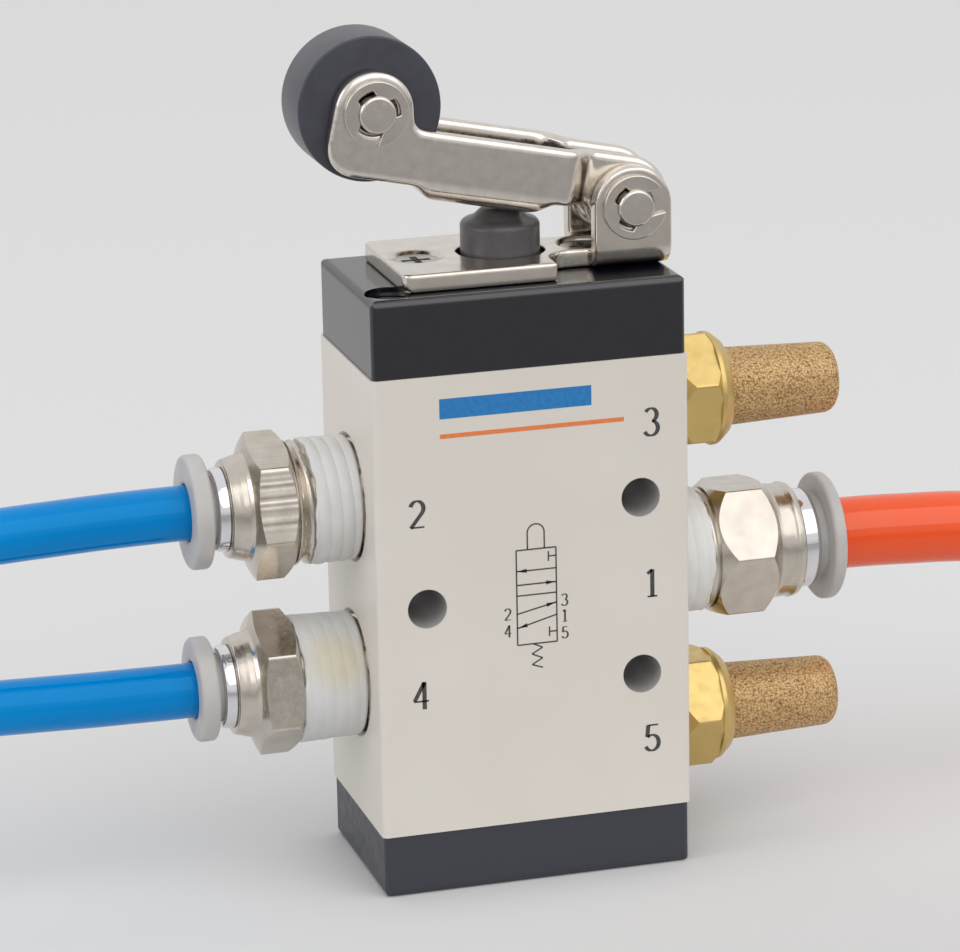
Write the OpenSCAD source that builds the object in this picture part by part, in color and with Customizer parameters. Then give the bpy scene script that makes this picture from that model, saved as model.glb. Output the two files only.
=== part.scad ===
// Roller lever air valve with five ports and two positions, with its fittings, tubes and silencers.
// All sizes are in millimetres. Z runs up along the spool, +X points out of the supply port,
// and -Y is the printed front. The origin is the centre of the bottom cap's underside.

/* [Valve body] */
// Width of the body from one port face to the other
body_w = 35; // [35:0.5:40]
// Depth of the body from front to back
body_d = 22; // [21:0.5:28]
// Height of the body between its end caps
body_h = 51; // [51:0.5:58]
// Radius of the upright edges of body and caps
edge_r = 0.6; // [0.5:0.1:2]
// Bore that the spool slides in
bore_d = 12; // [11:0.5:12.5]
// Diameter of the ring-shaped chamber round the bore at each port
chamber_d = 14.4; // [13.8:0.2:15]
// Half the height of a supply or outlet chamber
chamber_half = 2; // [1.9:0.05:2.1]
// Half the height of an exhaust chamber
exhaust_half = 1.6; // [1.3:0.1:1.6]
// Height between the two outlet ports
port_pitch = 20; // [19.8:0.1:20.4]

/* [Ports] */
// Thread diameter of the supply and outlet ports at the port face
port_d = 13.2; // [12.6:0.1:13.4]
// Depth of the supply and outlet ports
port_depth = 9.5; // [8:0.5:10]
// Diameter of the passage from a port to its chamber
passage_d = 7.5; // [5:0.5:9]
// Thread diameter of the exhaust ports
exhaust_d = 9.8; // [9:0.1:10]
// Depth of the exhaust ports
exhaust_depth = 8; // [7:0.5:9]
// Width of the chamfer at the mouth of each port
mouth_chamfer = 0.5; // [0.2:0.1:0.6]

/* [Mounting holes] */
// Diameter of the three mounting holes
mount_d = 4.3; // [3.5:0.1:4.6]
// Distance of the mounting holes from the spool axis
mount_x = 12; // [11.5:0.1:13]

/* [End caps] */
// Height of the bottom cap
bottom_cap_h = 7; // [6.5:0.5:9]
// Height of the top cap
top_cap_h = 8.5; // [8:0.5:11]
// How far the caps stand back from the body's sides
cap_inset = 0.2; // [0.1:0.05:0.4]
// Radius of the outer end edges of the caps
cap_edge_r = 0.8; // [0.4:0.1:1.2]
// Distance of the cap screws from the nearest port face
cap_screw_side = 3.2; // [3:0.1:3.7]
// Distance of the cap screws from the spool axis, front to back
cap_screw_y = 7.2; // [7.1:0.1:7.6]
// Depth of the pocket over each cap screw head
head_pocket = 3.6; // [3.2:0.1:4]

/* [Cap screws] */
// Shank diameter of the cap screws and bracket screws
screw_d = 3; // [2.5:0.1:3]
// Length of a cap screw below its head
cap_screw_l = 12; // [10:0.5:13]
// Head diameter of a cap screw
cap_head_d = 4.7; // [4.5:0.1:5]
// Head height of a cap screw
cap_head_h = 2.6; // [2:0.1:3]

/* [Spool] */
// How far the lever pushes the spool down
stroke = 3.6; // [3.3:0.1:3.6]
// Running clearance of the spool in its bore, on the radius
spool_clear = 0.05; // [0.03:0.01:0.08]
// Diameter of the spool between its lands
neck_d = 8.4; // [8.2:0.1:8.8]
// Width of each seal ring on the spool
seal_w = 1.5; // [1.3:0.05:1.5]
// Depth of each seal groove
groove_depth = 1.2; // [1:0.1:1.3]

/* [Return spring] */
// Wire diameter of the return spring
spring_wire = 0.8; // [0.6:0.05:0.9]
// Mean coil diameter of the return spring
spring_d = 5.2; // [4.8:0.1:5.2]
// Number of turns of the return spring
spring_turns = 8; // [6:1:9]
// Depth of the spring pocket in the bottom cap
spring_pocket = 4.5; // [3.5:0.25:5]
// Depth of the spring hole in the end of the spool
spring_hole = 6; // [4:0.5:7]

/* [Plunger] */
// Diameter of the plunger that the lever presses
plunger_d = 8.6; // [7.6:0.1:8.8]
// Radius of the plunger's domed top
dome_r = 5; // [4.5:0.1:8]
// Diameter of the dome where it meets the shoulder
dome_d = 7; // [6:0.1:7.4]
// Diameter of the flange that keeps the plunger in
plunger_flange_d = 11; // [10.4:0.1:11]
// Thickness of that flange
plunger_flange_h = 1.8; // [1.4:0.1:1.9]
// Outer diameter of the bush that guides the plunger
bush_d = 12.4; // [12:0.1:13]
// Running clearance of the plunger in its bush, on the radius
plunger_clear = 0.06; // [0.03:0.01:0.1]

/* [Bracket] */
// Sheet thickness of bracket and lever
sheet_t = 2; // [1.6:0.1:2.2]
// Distance from the spool axis to the free end of the bracket
bracket_reach = 13; // [12.6:0.1:13.4]
// Width of the bracket plate, front to back
bracket_d = 17.2; // [16.8:0.1:18]
// Radius of the plate's free corners
bracket_corner_r = 1; // [0.8:0.1:4]
// Distance of the bracket screws from the spool axis
bracket_screw_x = 9.4; // [9.2:0.1:9.6]
// Diameter of the hole that the plunger comes through
plunger_hole_d = 9.6; // [9.4:0.1:9.8]
// Distance between the inner faces of the two ears
ear_gap = 8; // [7.8:0.1:8.4]
// Radius of the rounded top of each ear, also half the ear's width
ear_r = 4.3; // [4:0.1:4.6]
// Inner radius of the ear's bend
bend_r = 0.5; // [0.3:0.1:0.6]
// Width of the relief notch beside each ear
relief_w = 5; // [4:0.1:5.2]

/* [Lever] */
// Distance of the lever's pivot from the spool axis
pivot_x = 13.2; // [13:0.1:13.6]
// Height of the pivot above the bracket plate
pivot_h = 4.8; // [4.8:0.1:5.4]
// Angle of the lever above level when it is free
lever_rest = 12; // [11:0.5:14]
// Distance from the pivot to the roller axis along the lever
roller_u = 30.1; // [29.5:0.1:33]
// Height of the roller axis above the pivot line
roller_v = 6.1; // [6:0.1:7]
// Height of the arms' top edge above the pivot line
arm_top = 5; // [4.8:0.1:5.4]
// Depth of the arms' bottom edge below the pivot line
arm_low = 1.1; // [0.9:0.1:1.3]
// Depth of the web's underside below the pivot line
web_low = 2.6; // [2.5:0.05:2.8]
// Start of the web, from the pivot
web_start = 10.3; // [10:0.1:10.8]
// End of the web, from the pivot
web_end = 22.6; // [22:0.1:22.8]
// Width of the lever outside its arms
lever_w = 12.2; // [11.8:0.1:12.8]
// Radius of the arm's head round the roller pin
head_r = 4.4; // [4.2:0.1:5]
// Side clearance between arms and ears
ear_clear = 0.2; // [0.1:0.05:0.3]

/* [Roller and pins] */
// Diameter of the roller
roller_d = 15.5; // [14.5:0.1:16]
// Side clearance of the roller between the arms
roller_side_clear = 0.4; // [0.3:0.05:0.6]
// Radius of the roller's edges
roller_edge_r = 0.6; // [0.3:0.1:1]
// Diameter of the pivot pin and the roller pin
pin_d = 4; // [3.6:0.1:4]
// Running clearance on a pin, on the radius
pin_clear = 0.05; // [0.03:0.01:0.08]
// Length of pin that stands out past the sheet on each side
pin_out = 1.2; // [1.1:0.05:1.5]
// Outer diameter of the retaining rings
ring_d = 7; // [6.4:0.1:7.2]
// Thickness of the retaining rings
ring_t = 0.6; // [0.5:0.05:0.7]

/* [Fittings] */
// Outer diameter of the outlet tubes
outlet_tube_d = 6; // [6:0.1:6.2]
// Outer diameter of the supply tube
supply_tube_d = 8; // [8:0.1:8.2]
// Width across flats of the fittings' hexagons
fitting_af = 14; // [13.4:0.1:15]
// Length of thread inside the port
thread_in = 4.5; // [3.5:0.1:5.5]
// Length of thread left outside at the outlets
outlet_thread_out = 7.2; // [6.6:0.1:7.6]
// Length of thread left outside at the supply port
supply_thread_out = 5.2; // [4.8:0.1:6]
// Length of the outlet fittings' hexagons
outlet_hex_l = 4.3; // [4:0.1:5]
// Length of the supply fitting's hexagon
supply_hex_l = 7; // [6.4:0.1:7.4]
// Length of the round barrel past an outlet fitting's hexagon
outlet_barrel_l = 2.5; // [2.2:0.1:3]
// Length of the round barrel past the supply fitting's hexagon
supply_barrel_l = 3.2; // [2.8:0.1:3.6]
// Thickness of the white sealing compound on each thread
sealant_t = 0.25; // [0.15:0.05:0.35]
// Length of the chromed guide ring that stands out of an outlet fitting's barrel
outlet_guide_out = 1.3; // [1:0.1:1.6]
// Length of the chromed guide ring that stands out of the supply fitting's barrel
supply_guide_out = 1.7; // [1.4:0.1:2]
// Distance that a release collar can be pushed in
collar_travel = 0.7; // [0.5:0.05:0.9]
// Thickness of a release collar's flange
collar_flange_h = 2; // [1.8:0.1:2.4]

/* [Silencers] */
// Width across flats of the silencers' hexagons
silencer_af = 12; // [11.4:0.1:13]
// Length of the silencers' hexagons
silencer_hex_l = 5.3; // [4.8:0.1:5.6]
// Length of the round collar past each hexagon
silencer_collar_l = 1.4; // [1.2:0.1:1.8]
// Diameter of the porous element at its root
element_d = 8.7; // [8:0.1:9]
// Diameter of the porous element at its tip
element_tip_d = 7.8; // [7:0.1:8]
// Length of the porous element outside its collar
element_l = 13; // [12:0.5:18]

/* [Hidden] */
$fn = 48;
// Overlap that lets a cut run clear of the face that it starts from
eps = 0.1;
// Gap that keeps a drawn fit from touching
fit = 0.03;

// Heights of the joints between the stacked pieces
body_z = bottom_cap_h;
cap_z = body_z + body_h;
plate_z = cap_z + top_cap_h;
plate_top = plate_z + sheet_t;

// Heights of the ports
supply_z = body_z + body_h / 2;
upper_z = supply_z + port_pitch / 2;
lower_z = supply_z - port_pitch / 2;

// Screw holes in the body and the caps
passage_overlap = 0.3;
exhaust_passage_step = 2;
exhaust_passage_d = passage_d - exhaust_passage_step;
hole_spare = 1;
screw_clear = 0.15;
head_clear = 0.3;
cap_hole_clear = 0.4;
socket_d = cap_head_d / 2;
cap_screw_x = body_w / 2 - cap_screw_side;

// Heights of the exhaust ports: the spool's end seals stay between each exhaust chamber and the caps
seal_margin = 0.2;
seal_reach = seal_margin + seal_w / 2;
spool_top_lip = 0.3;
exhaust_edge = exhaust_half + seal_reach + stroke + seal_w / 2 + spool_top_lip;
upper_exhaust_z = cap_z - exhaust_edge;
lower_exhaust_z = body_z + exhaust_edge;

// Heights of the spool's seals at rest: each clears its chamber's edge by the margin
top_seal_z = upper_exhaust_z + exhaust_half + seal_reach + stroke;
upper_shut_z = upper_z + chamber_half + seal_reach;
upper_open_z = upper_z - chamber_half - seal_reach + stroke;
lower_shut_z = lower_z + chamber_half + seal_reach;
lower_open_z = lower_z - chamber_half - seal_reach + stroke;
bottom_seal_z = lower_exhaust_z - exhaust_half - seal_reach;
SEAL_HEIGHTS = [top_seal_z, upper_shut_z, upper_open_z, lower_shut_z, lower_open_z, bottom_seal_z];

// Spool
land_r = bore_d / 2 - spool_clear;
groove_r = land_r - groove_depth;
groove_play = 0.1;
groove_w = seal_w + groove_play;
land_lip = 0.4;
spool_end_gap = 0.1;
spool_low = body_z + stroke + spool_end_gap;
spring_side_gap = 0.25;
spring_hole_r = spring_d / 2 + spring_wire / 2 + spring_side_gap;
coil_touch = 1.05;
wire_sides = 8;
steps_per_turn = 16;

// End seals in the cap faces
end_seal_edge = 0.3;
end_seal_w = 1.2;
end_seal_in = chamber_d / 2 + end_seal_edge;
end_seal_out = end_seal_in + end_seal_w;
end_seal_h = 1;

// Plunger, its bush and its seal
flange_gap = 0.1;
bush_low = cap_z + plunger_flange_h + flange_gap;
bush_lip = 1.4;
bush_top = plate_z - bush_lip;
plunger_seal_w = 1.5;
plunger_seal_t = 1;
plunger_seal_z = (bush_low + bush_top) / 2;

// Contact of the plunger's dome with the sloping web of the free lever
contact_gap = 0.05;
pivot_z = plate_top + pivot_h;
dome_z = pivot_z + (pivot_x * sin(lever_rest) - web_low - dome_r - contact_gap) / cos(lever_rest);
shoulder_h = 0.9;
dome_foot_z = dome_z + sqrt(dome_r * dome_r - dome_d * dome_d / 4);

// Bracket
ear_out = ear_gap / 2 + sheet_t;
bend_out = bend_r + sheet_t;
bend_y = ear_out - bend_out;
ear_left = pivot_x - ear_r;
ear_right = pivot_x + ear_r;
relief_x = ear_left - relief_w / 2;
csk_d = 6.2;
csk_head_d = 5.2;
bracket_screw_l = 8;
cross_l = 3.2;
cross_w = 0.8;
cross_depth = 0.8;

// Lever, in its own frame: u runs from the pivot to the roller and v stands square on the pivot line
arm_in = lever_w / 2 - sheet_t;
tail_out = ear_gap / 2 - ear_clear;
jog = lever_w / 2 - tail_out;
tail_clear = 0.7;
tail_u = ear_r + tail_clear;
joggle_angle = 45;
jog_shift = sheet_t * tan(joggle_angle / 2);
jog_end = tail_u + jog / tan(joggle_angle) + jog_shift;
tail_r = 4.65;
lever_inner_r = 0.6;
lever_bend_r = sheet_t + lever_inner_r;
foot_r = 3.3;
heel_u = roller_u + head_r;
valley_r = 1.2;
roller_w = 2 * (arm_in - roller_side_clear);

// Pins and retaining rings
ring_gap = 0.03;
ring_groove_d = 3.2;
ring_groove_w = ring_t + 2 * ring_gap;
ring_mouth = 2.6;
ring_slot_w = 1.9;
ring_slot_turn = 52;
pivot_ring_turn = 100;
roller_ring_turn = 10;

// Fittings
taper = 1 / 16;
hex_chamfer = 0.8;
barrel_wall = 2.4;
barrel_chamfer = 0.5;
tube_stop = 1.5;
stop_step = 0.8;
tube_slip = 0.12;
collet_depth = 3.8;
collet_wall = 1.4;
collet_end_gap = 0.15;
claws = 8;
claw_slit = 0.3;
claw_edge = 0.4;
seal_depth = 1.8;
guide_depth = 1.5;
guide_wall = 0.7;
guide_lip = 0.2;
collar_wall = 0.55;
collar_sleeve = 1.4;
collar_end_gap = 0.1;
collar_edge_share = 0.3;
collar_lead_in = 0.3;
upper_collar_rim = 3.2;
lower_collar_rim = 2.7;
supply_collar_rim = 3.1;
sealant_end_gap = 0.1;
upper_bare = 1.9;
lower_bare = 0;
supply_bare = 1.3;
outlet_mouth = outlet_thread_out + outlet_hex_l + outlet_barrel_l;
supply_mouth = supply_thread_out + supply_hex_l + supply_barrel_l;

// Turn of each hexagon about its axis
lower_hex_turn = 7;
upper_hex_turn = 14;
supply_hex_turn = 26;
upper_silencer_turn = 13;
lower_silencer_turn = 28;

// Silencers
silencer_thread_in = 6;
silencer_seat = 0.6;
silencer_hole_d = 5;
element_wall = 1.6;
element_root = 1;
element_flat_r = 1.2;
silencer_step = 0.6;
silencer_lip = 0.4;

// Routes of the tubes: distance from the stop inside the fitting, and rise above the port's axis
UPPER_BEND = [[0, 0], [5, 0], [10, 0], [15, 0], [19, 0], [23, -0.05], [27, -0.15], [31, -0.3],
    [35, -0.45], [39, -0.65], [43, -0.9], [47, -1.15], [51, -1.45], [56, -1.85], [61, -2.3]];
LOWER_BEND = [[0, 0], [5, 0], [10, 0], [15, 0], [19, 0], [23, 0.05], [27, 0.1], [31, 0.2],
    [35, 0.3], [39, 0.4], [43, 0.5], [47, 0.55], [51, 0.6], [56, 0.65], [61, 0.7]];
SUPPLY_BEND = [[0, 0], [5, 0], [10, 0], [15, 0], [20, 0], [24, -0.1], [28, -0.3], [32, -0.5],
    [37, -0.9], [42, -1.35], [47, -1.85], [53, -2.5], [59, -3.2], [65, -3.95], [71, -4.7]];
tube_start = body_w / 2 + tube_stop;
UPPER_ROUTE = [for (p = UPPER_BEND) [-tube_start - p[0], 0, upper_z + p[1]]];
LOWER_ROUTE = [for (p = LOWER_BEND) [-tube_start - p[0], 0, lower_z + p[1]]];
SUPPLY_ROUTE = [for (p = SUPPLY_BEND) [tube_start + p[0], 0, supply_z + p[1]]];
tube_sides = 12;

// Places children on a port of the left face, with Z pointing out of the port
module on_left(z) {
    translate([-body_w / 2, 0, z]) rotate([0, -90, 0]) children();
}

// Places children on a port of the right face, with Z pointing out of the port
module on_right(z) {
    translate([body_w / 2, 0, z]) rotate([0, 90, 0]) children();
}

// Places children in the lever's frame: x along the lever to the roller, z square on it
module on_lever() {
    translate([pivot_x, 0, pivot_z]) rotate([0, lever_rest, 0]) rotate([0, 0, 180]) children();
}

// Extrudes a profile drawn in x and z, centred on y
module across(width) {
    rotate([90, 0, 0]) linear_extrude(width, center = true) children();
}

// Extrudes a profile drawn in y and z along x
module along(x0, x1) {
    translate([x0, 0, 0]) rotate([90, 0, 90]) linear_extrude(x1 - x0) children();
}

// Ring with a square section, standing on its lower face
module collar_ring(r_in, r_out, h) {
    difference() {
        cylinder(r = r_out, h = h);
        translate([0, 0, -eps]) cylinder(r = r_in, h = h + 2 * eps);
    }
}

// Outline of the block seen from above
module block_outline(w, d, r) {
    square([w - 2 * r, d], center = true);
    square([w, d - 2 * r], center = true);
    for (sx = [-1, 1], sy = [-1, 1])
        translate([sx * (w / 2 - r), sy * (d / 2 - r)]) circle(r);
}

// Upright outline with its two upper corners rounded
module eased_outline(w, h, r) {
    translate([-w / 2, 0]) square([w, h - r]);
    translate([r - w / 2, 0]) square([w - 2 * r, h]);
    for (s = [-1, 1]) translate([s * (w / 2 - r), h - r]) circle(r);
}

// End cap blank with rounded upper edges
module cap_blank(h) {
    w = body_w - 2 * cap_inset;
    d = body_d - 2 * cap_inset;
    intersection() {
        linear_extrude(h) block_outline(w, d, edge_r);
        across(body_d) eased_outline(w, h, cap_edge_r);
        along(-body_w / 2, body_w / 2) eased_outline(d, h, cap_edge_r);
    }
}

// Port drilled inwards from the face at z = 0
module port_cut(d, depth, hole_d) {
    translate([0, 0, -depth]) cylinder(d = d, h = depth + eps);
    translate([0, 0, -mouth_chamfer]) cylinder(d1 = d, d2 = d + 2 * mouth_chamfer, h = mouth_chamfer);
    reach = body_w / 2 - chamber_d / 2 + passage_overlap;
    translate([0, 0, -reach]) cylinder(d = hole_d, h = reach);
}

// Hole through the body from front to back
module mount_hole(x, z) {
    translate([x, 0, z]) rotate([90, 0, 0]) cylinder(d = mount_d, h = body_d + 2 * eps, center = true);
}

// Ring-shaped chamber round the bore
module chamber(z, half) {
    translate([0, 0, z - half]) cylinder(d = chamber_d, h = 2 * half);
}

// Places children at the two corners that carry screws: side is 1 for the top cap, -1 for the bottom cap
module at_cap_screws(side) {
    for (s = [-1, 1]) translate([s * cap_screw_x, s * side * cap_screw_y, 0]) children();
}

module valve_body() {
    screw_hole = cap_screw_l - (top_cap_h - head_pocket) + hole_spare;
    low_screw_hole = cap_screw_l - (bottom_cap_h - head_pocket) + hole_spare;
    color("#d9d0ba") difference() {
        translate([0, 0, body_z]) linear_extrude(body_h) block_outline(body_w, body_d, edge_r);
        translate([0, 0, body_z - eps]) cylinder(d = bore_d, h = body_h + 2 * eps);
        for (z = [lower_z, supply_z, upper_z]) chamber(z, chamber_half);
        for (z = [lower_exhaust_z, upper_exhaust_z]) chamber(z, exhaust_half);
        for (z = [lower_z, upper_z]) on_left(z) port_cut(port_d, port_depth, passage_d);
        on_right(supply_z) port_cut(port_d, port_depth, passage_d);
        for (z = [lower_exhaust_z, upper_exhaust_z])
            on_right(z) port_cut(exhaust_d, exhaust_depth, exhaust_passage_d);
        for (z = [lower_z, upper_z]) mount_hole(mount_x, z);
        mount_hole(-mount_x, supply_z);
        at_cap_screws(1) translate([0, 0, cap_z - screw_hole])
            cylinder(d = screw_d + 2 * fit, h = screw_hole + eps);
        at_cap_screws(-1) translate([0, 0, body_z - eps])
            cylinder(d = screw_d + 2 * fit, h = low_screw_hole + eps);
    }
}

// Holes for a cap screw through a cap of height h, with the head pocket at its upper side
module cap_screw_cut(h) {
    translate([0, 0, -eps]) cylinder(d = screw_d + 2 * screw_clear, h = h + 2 * eps);
    translate([0, 0, h - head_pocket]) cylinder(d = cap_head_d + 2 * head_clear, h = head_pocket + eps);
}

module top_cap() {
    color("#1d1e21") difference() {
        translate([0, 0, cap_z]) cap_blank(top_cap_h);
        translate([0, 0, cap_z - eps]) cylinder(d = bush_d + 2 * fit, h = bush_top - cap_z + eps);
        translate([0, 0, cap_z]) cylinder(d = plunger_d + 2 * cap_hole_clear, h = top_cap_h + eps);
        translate([0, 0, cap_z - eps]) collar_ring(end_seal_in - fit, end_seal_out + fit, end_seal_h + eps);
        translate([0, 0, cap_z]) at_cap_screws(1) cap_screw_cut(top_cap_h);
        for (s = [-1, 1]) translate([s * bracket_screw_x, 0, plate_z + sheet_t - bracket_screw_l])
            cylinder(d = screw_d + 2 * fit, h = bracket_screw_l);
    }
}

module bottom_cap() {
    color("#2b2e33") difference() {
        translate([0, 0, body_z]) mirror([0, 0, 1]) cap_blank(bottom_cap_h);
        translate([0, 0, body_z - spring_pocket]) cylinder(r = spring_hole_r, h = spring_pocket + eps);
        translate([0, 0, body_z - end_seal_h])
            collar_ring(end_seal_in - fit, end_seal_out + fit, end_seal_h + eps);
        translate([0, 0, body_z]) mirror([0, 0, 1]) at_cap_screws(-1) cap_screw_cut(bottom_cap_h);
    }
}

module end_seals() {
    color("#222222") {
        translate([0, 0, cap_z]) collar_ring(end_seal_in, end_seal_out, end_seal_h - fit);
        translate([0, 0, body_z - end_seal_h + fit])
            collar_ring(end_seal_in, end_seal_out, end_seal_h - fit);
    }
}

// Socket head screw, head up, with the underside of its head at z = 0
module cap_screw() {
    difference() {
        union() {
            translate([0, 0, -cap_screw_l]) cylinder(d = screw_d, h = cap_screw_l);
            cylinder(d = cap_head_d, h = cap_head_h);
        }
        translate([0, 0, cap_head_h / 2]) cylinder(d = socket_d, h = cap_head_h, $fn = 6);
    }
}

module cap_screws() {
    color("#8d8d90") {
        translate([0, 0, plate_z - head_pocket]) at_cap_screws(1) cap_screw();
        translate([0, 0, head_pocket]) mirror([0, 0, 1]) at_cap_screws(-1) cap_screw();
    }
}

// Land of the spool between two heights
module land(z0, z1) {
    translate([0, 0, z0]) cylinder(r = land_r, h = z1 - z0);
}

module spool() {
    half = groove_w / 2 + land_lip;
    color("#b9bcc0") difference() {
        union() {
            translate([0, 0, spool_low]) cylinder(d = neck_d, h = cap_z - spool_low);
            land(top_seal_z - half, cap_z);
            land(upper_open_z - half, upper_shut_z + half);
            land(lower_open_z - half, lower_shut_z + half);
            land(spool_low, bottom_seal_z + half);
        }
        for (z = SEAL_HEIGHTS) translate([0, 0, z - groove_w / 2]) collar_ring(groove_r, bore_d, groove_w);
        translate([0, 0, spool_low - eps]) cylinder(r = spring_hole_r, h = spring_hole + eps);
    }
}

// Seal ring with a round outer lip
module spool_seal() {
    r_in = groove_r + fit;
    r_lip = seal_w / 3;
    r_out = bore_d / 2 - fit;
    rotate_extrude() {
        translate([r_in, -seal_w / 2]) square([r_out - r_lip - r_in, seal_w]);
        translate([r_out - r_lip, 0]) circle(r_lip);
    }
}

module spool_seals() {
    color("#3a3a3c") for (z = SEAL_HEIGHTS) translate([0, 0, z]) spool_seal();
}

// Height along the spring at a share s of its length, with one closed turn at each end
function spring_rise(s, span) =
    let (lead = 1 / spring_turns, closed = spring_wire * coil_touch)
    s < lead ? closed * s / lead :
    s > 1 - lead ? span - closed * (1 - s) / lead :
    closed + (span - 2 * closed) * (s - lead) / (1 - 2 * lead);

// Quads between successive rings of points, with both ends closed
function tube_faces(rings, sides) = concat(
    [[for (k = [sides - 1:-1:0]) k]],
    [for (i = [0:rings - 2], k = [0:sides - 1])
        let (this = i * sides, next = this + sides, turn = (k + 1) % sides)
        [this + k, this + turn, next + turn, next + k]],
    [[for (k = [0:sides - 1]) (rings - 1) * sides + k]]);

module return_spring() {
    steps = steps_per_turn * spring_turns;
    low = body_z - spring_pocket;
    span = spool_low + spring_hole - low - spring_wire;
    points = [for (i = [0:steps], k = [0:wire_sides - 1])
        let (turn = 360 * spring_turns * i / steps, a = 360 * k / wire_sides,
             r = spring_d / 2 + spring_wire / 2 * cos(a))
        [r * cos(turn), r * sin(turn),
         low + spring_wire / 2 + spring_rise(i / steps, span) - spring_wire / 2 * sin(a)]];
    color("#c9c9c4") polyhedron(points, tube_faces(steps + 1, wire_sides), convexity = 10);
}

module plunger() {
    flange_top = cap_z + plunger_flange_h;
    shoulder_z = dome_foot_z - shoulder_h;
    color("#4a4b50") {
        translate([0, 0, cap_z]) cylinder(d = plunger_flange_d, h = plunger_flange_h);
        translate([0, 0, flange_top - eps]) cylinder(d = plunger_d, h = shoulder_z - flange_top + eps);
        translate([0, 0, shoulder_z]) cylinder(d1 = plunger_d, d2 = dome_d, h = shoulder_h);
        intersection() {
            translate([0, 0, dome_z]) sphere(dome_r);
            translate([0, 0, dome_foot_z - eps]) cylinder(d = dome_d, h = dome_r);
        }
    }
}

module plunger_bush() {
    bush_r = plunger_d / 2 + plunger_clear;
    color("#b08d57") difference() {
        translate([0, 0, bush_low]) cylinder(d = bush_d, h = bush_top - bush_low);
        translate([0, 0, bush_low - eps]) cylinder(r = bush_r, h = bush_top - bush_low + 2 * eps);
        translate([0, 0, plunger_seal_z - plunger_seal_w / 2 - fit])
            cylinder(r = bush_r + plunger_seal_t + fit, h = plunger_seal_w + 2 * fit);
    }
}

module plunger_seal() {
    r_in = plunger_d / 2 + fit;
    r_lip = plunger_seal_w / 3;
    color("#303033") translate([0, 0, plunger_seal_z]) rotate_extrude() {
        translate([r_in + r_lip, -plunger_seal_w / 2])
            square([plunger_seal_t + plunger_clear - fit - r_lip, plunger_seal_w]);
        translate([r_in + r_lip, 0]) circle(r_lip);
    }
}

// Flat plate of the bracket seen from above, with a rounded free end and a relief notch beside each ear
module plate_outline() {
    difference() {
        union() {
            translate([bracket_corner_r - bracket_reach, -bracket_d / 2])
                square([relief_x + bracket_reach - bracket_corner_r, bracket_d]);
            translate([-bracket_reach, bracket_corner_r - bracket_d / 2])
                square([bracket_corner_r, bracket_d - 2 * bracket_corner_r]);
            for (s = [-1, 1])
                translate([bracket_corner_r - bracket_reach, s * (bracket_d / 2 - bracket_corner_r)])
                    circle(bracket_corner_r);
            translate([relief_x, -bend_y]) square([ear_right - relief_x, 2 * bend_y]);
        }
        for (s = [-1, 1]) translate([relief_x, s * (bend_y + relief_w / 2)]) {
            circle(d = relief_w);
            translate([-relief_w / 2, s > 0 ? 0 : -bracket_d]) square([relief_w, bracket_d]);
        }
    }
}

// Section through floor, bends and ears, in y and z above the cap
module ear_section(height) {
    for (s = [-1, 1]) {
        translate([s * bend_y, bend_out]) intersection() {
            difference() {
                circle(bend_out);
                circle(bend_r);
            }
            translate([s > 0 ? 0 : -bend_out, -bend_out]) square(bend_out);
        }
        translate([s > 0 ? ear_gap / 2 : -ear_out, bend_out]) square([sheet_t, height - bend_out]);
    }
    translate([-bend_y, 0]) square([2 * bend_y, sheet_t]);
}

// Side outline of an ear with its rounded top
module ear_outline() {
    translate([-ear_r, -pivot_h - sheet_t]) square([2 * ear_r, pivot_h + sheet_t]);
    circle(ear_r);
}

module lever_bracket() {
    color("#b5b1a8") difference() {
        union() {
            translate([0, 0, plate_z]) linear_extrude(sheet_t) plate_outline();
            intersection() {
                translate([0, 0, plate_z]) along(ear_left, ear_right)
                    ear_section(sheet_t + pivot_h + ear_r);
                translate([pivot_x, 0, pivot_z]) across(2 * ear_out) ear_outline();
            }
        }
        translate([0, 0, plate_z - eps]) cylinder(d = plunger_hole_d, h = sheet_t + 2 * eps);
        for (s = [-1, 1]) translate([s * bracket_screw_x, 0, plate_z]) {
            translate([0, 0, -eps]) cylinder(d = screw_d + 2 * screw_clear, h = sheet_t + 2 * eps);
            translate([0, 0, sheet_t - csk_d / 2 + screw_d / 2])
                cylinder(d1 = screw_d, d2 = csk_d + 2 * eps, h = (csk_d - screw_d) / 2 + eps);
        }
        translate([pivot_x, 0, pivot_z]) rotate([90, 0, 0])
            cylinder(d = pin_d + 2 * fit, h = 2 * ear_out + 2 * eps, center = true);
    }
}

// Countersunk screw with a cross recess, seated with its head just under the plate's face
module bracket_screw() {
    head_h = (csk_head_d - screw_d) / 2;
    sink = (csk_d - csk_head_d) / 2 - fit;
    translate([0, 0, -sink]) difference() {
        union() {
            translate([0, 0, sink - bracket_screw_l + fit])
                cylinder(d = screw_d, h = bracket_screw_l - sink - fit);
            translate([0, 0, -head_h]) cylinder(d1 = screw_d, d2 = csk_head_d, h = head_h);
        }
        for (a = [0, 90]) rotate([0, 0, a]) cube([cross_l, cross_w, 2 * cross_depth], center = true);
    }
}

module bracket_screws() {
    color("#9a968e") for (s = [-1, 1]) translate([s * bracket_screw_x, 0, plate_top]) bracket_screw();
}

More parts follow.
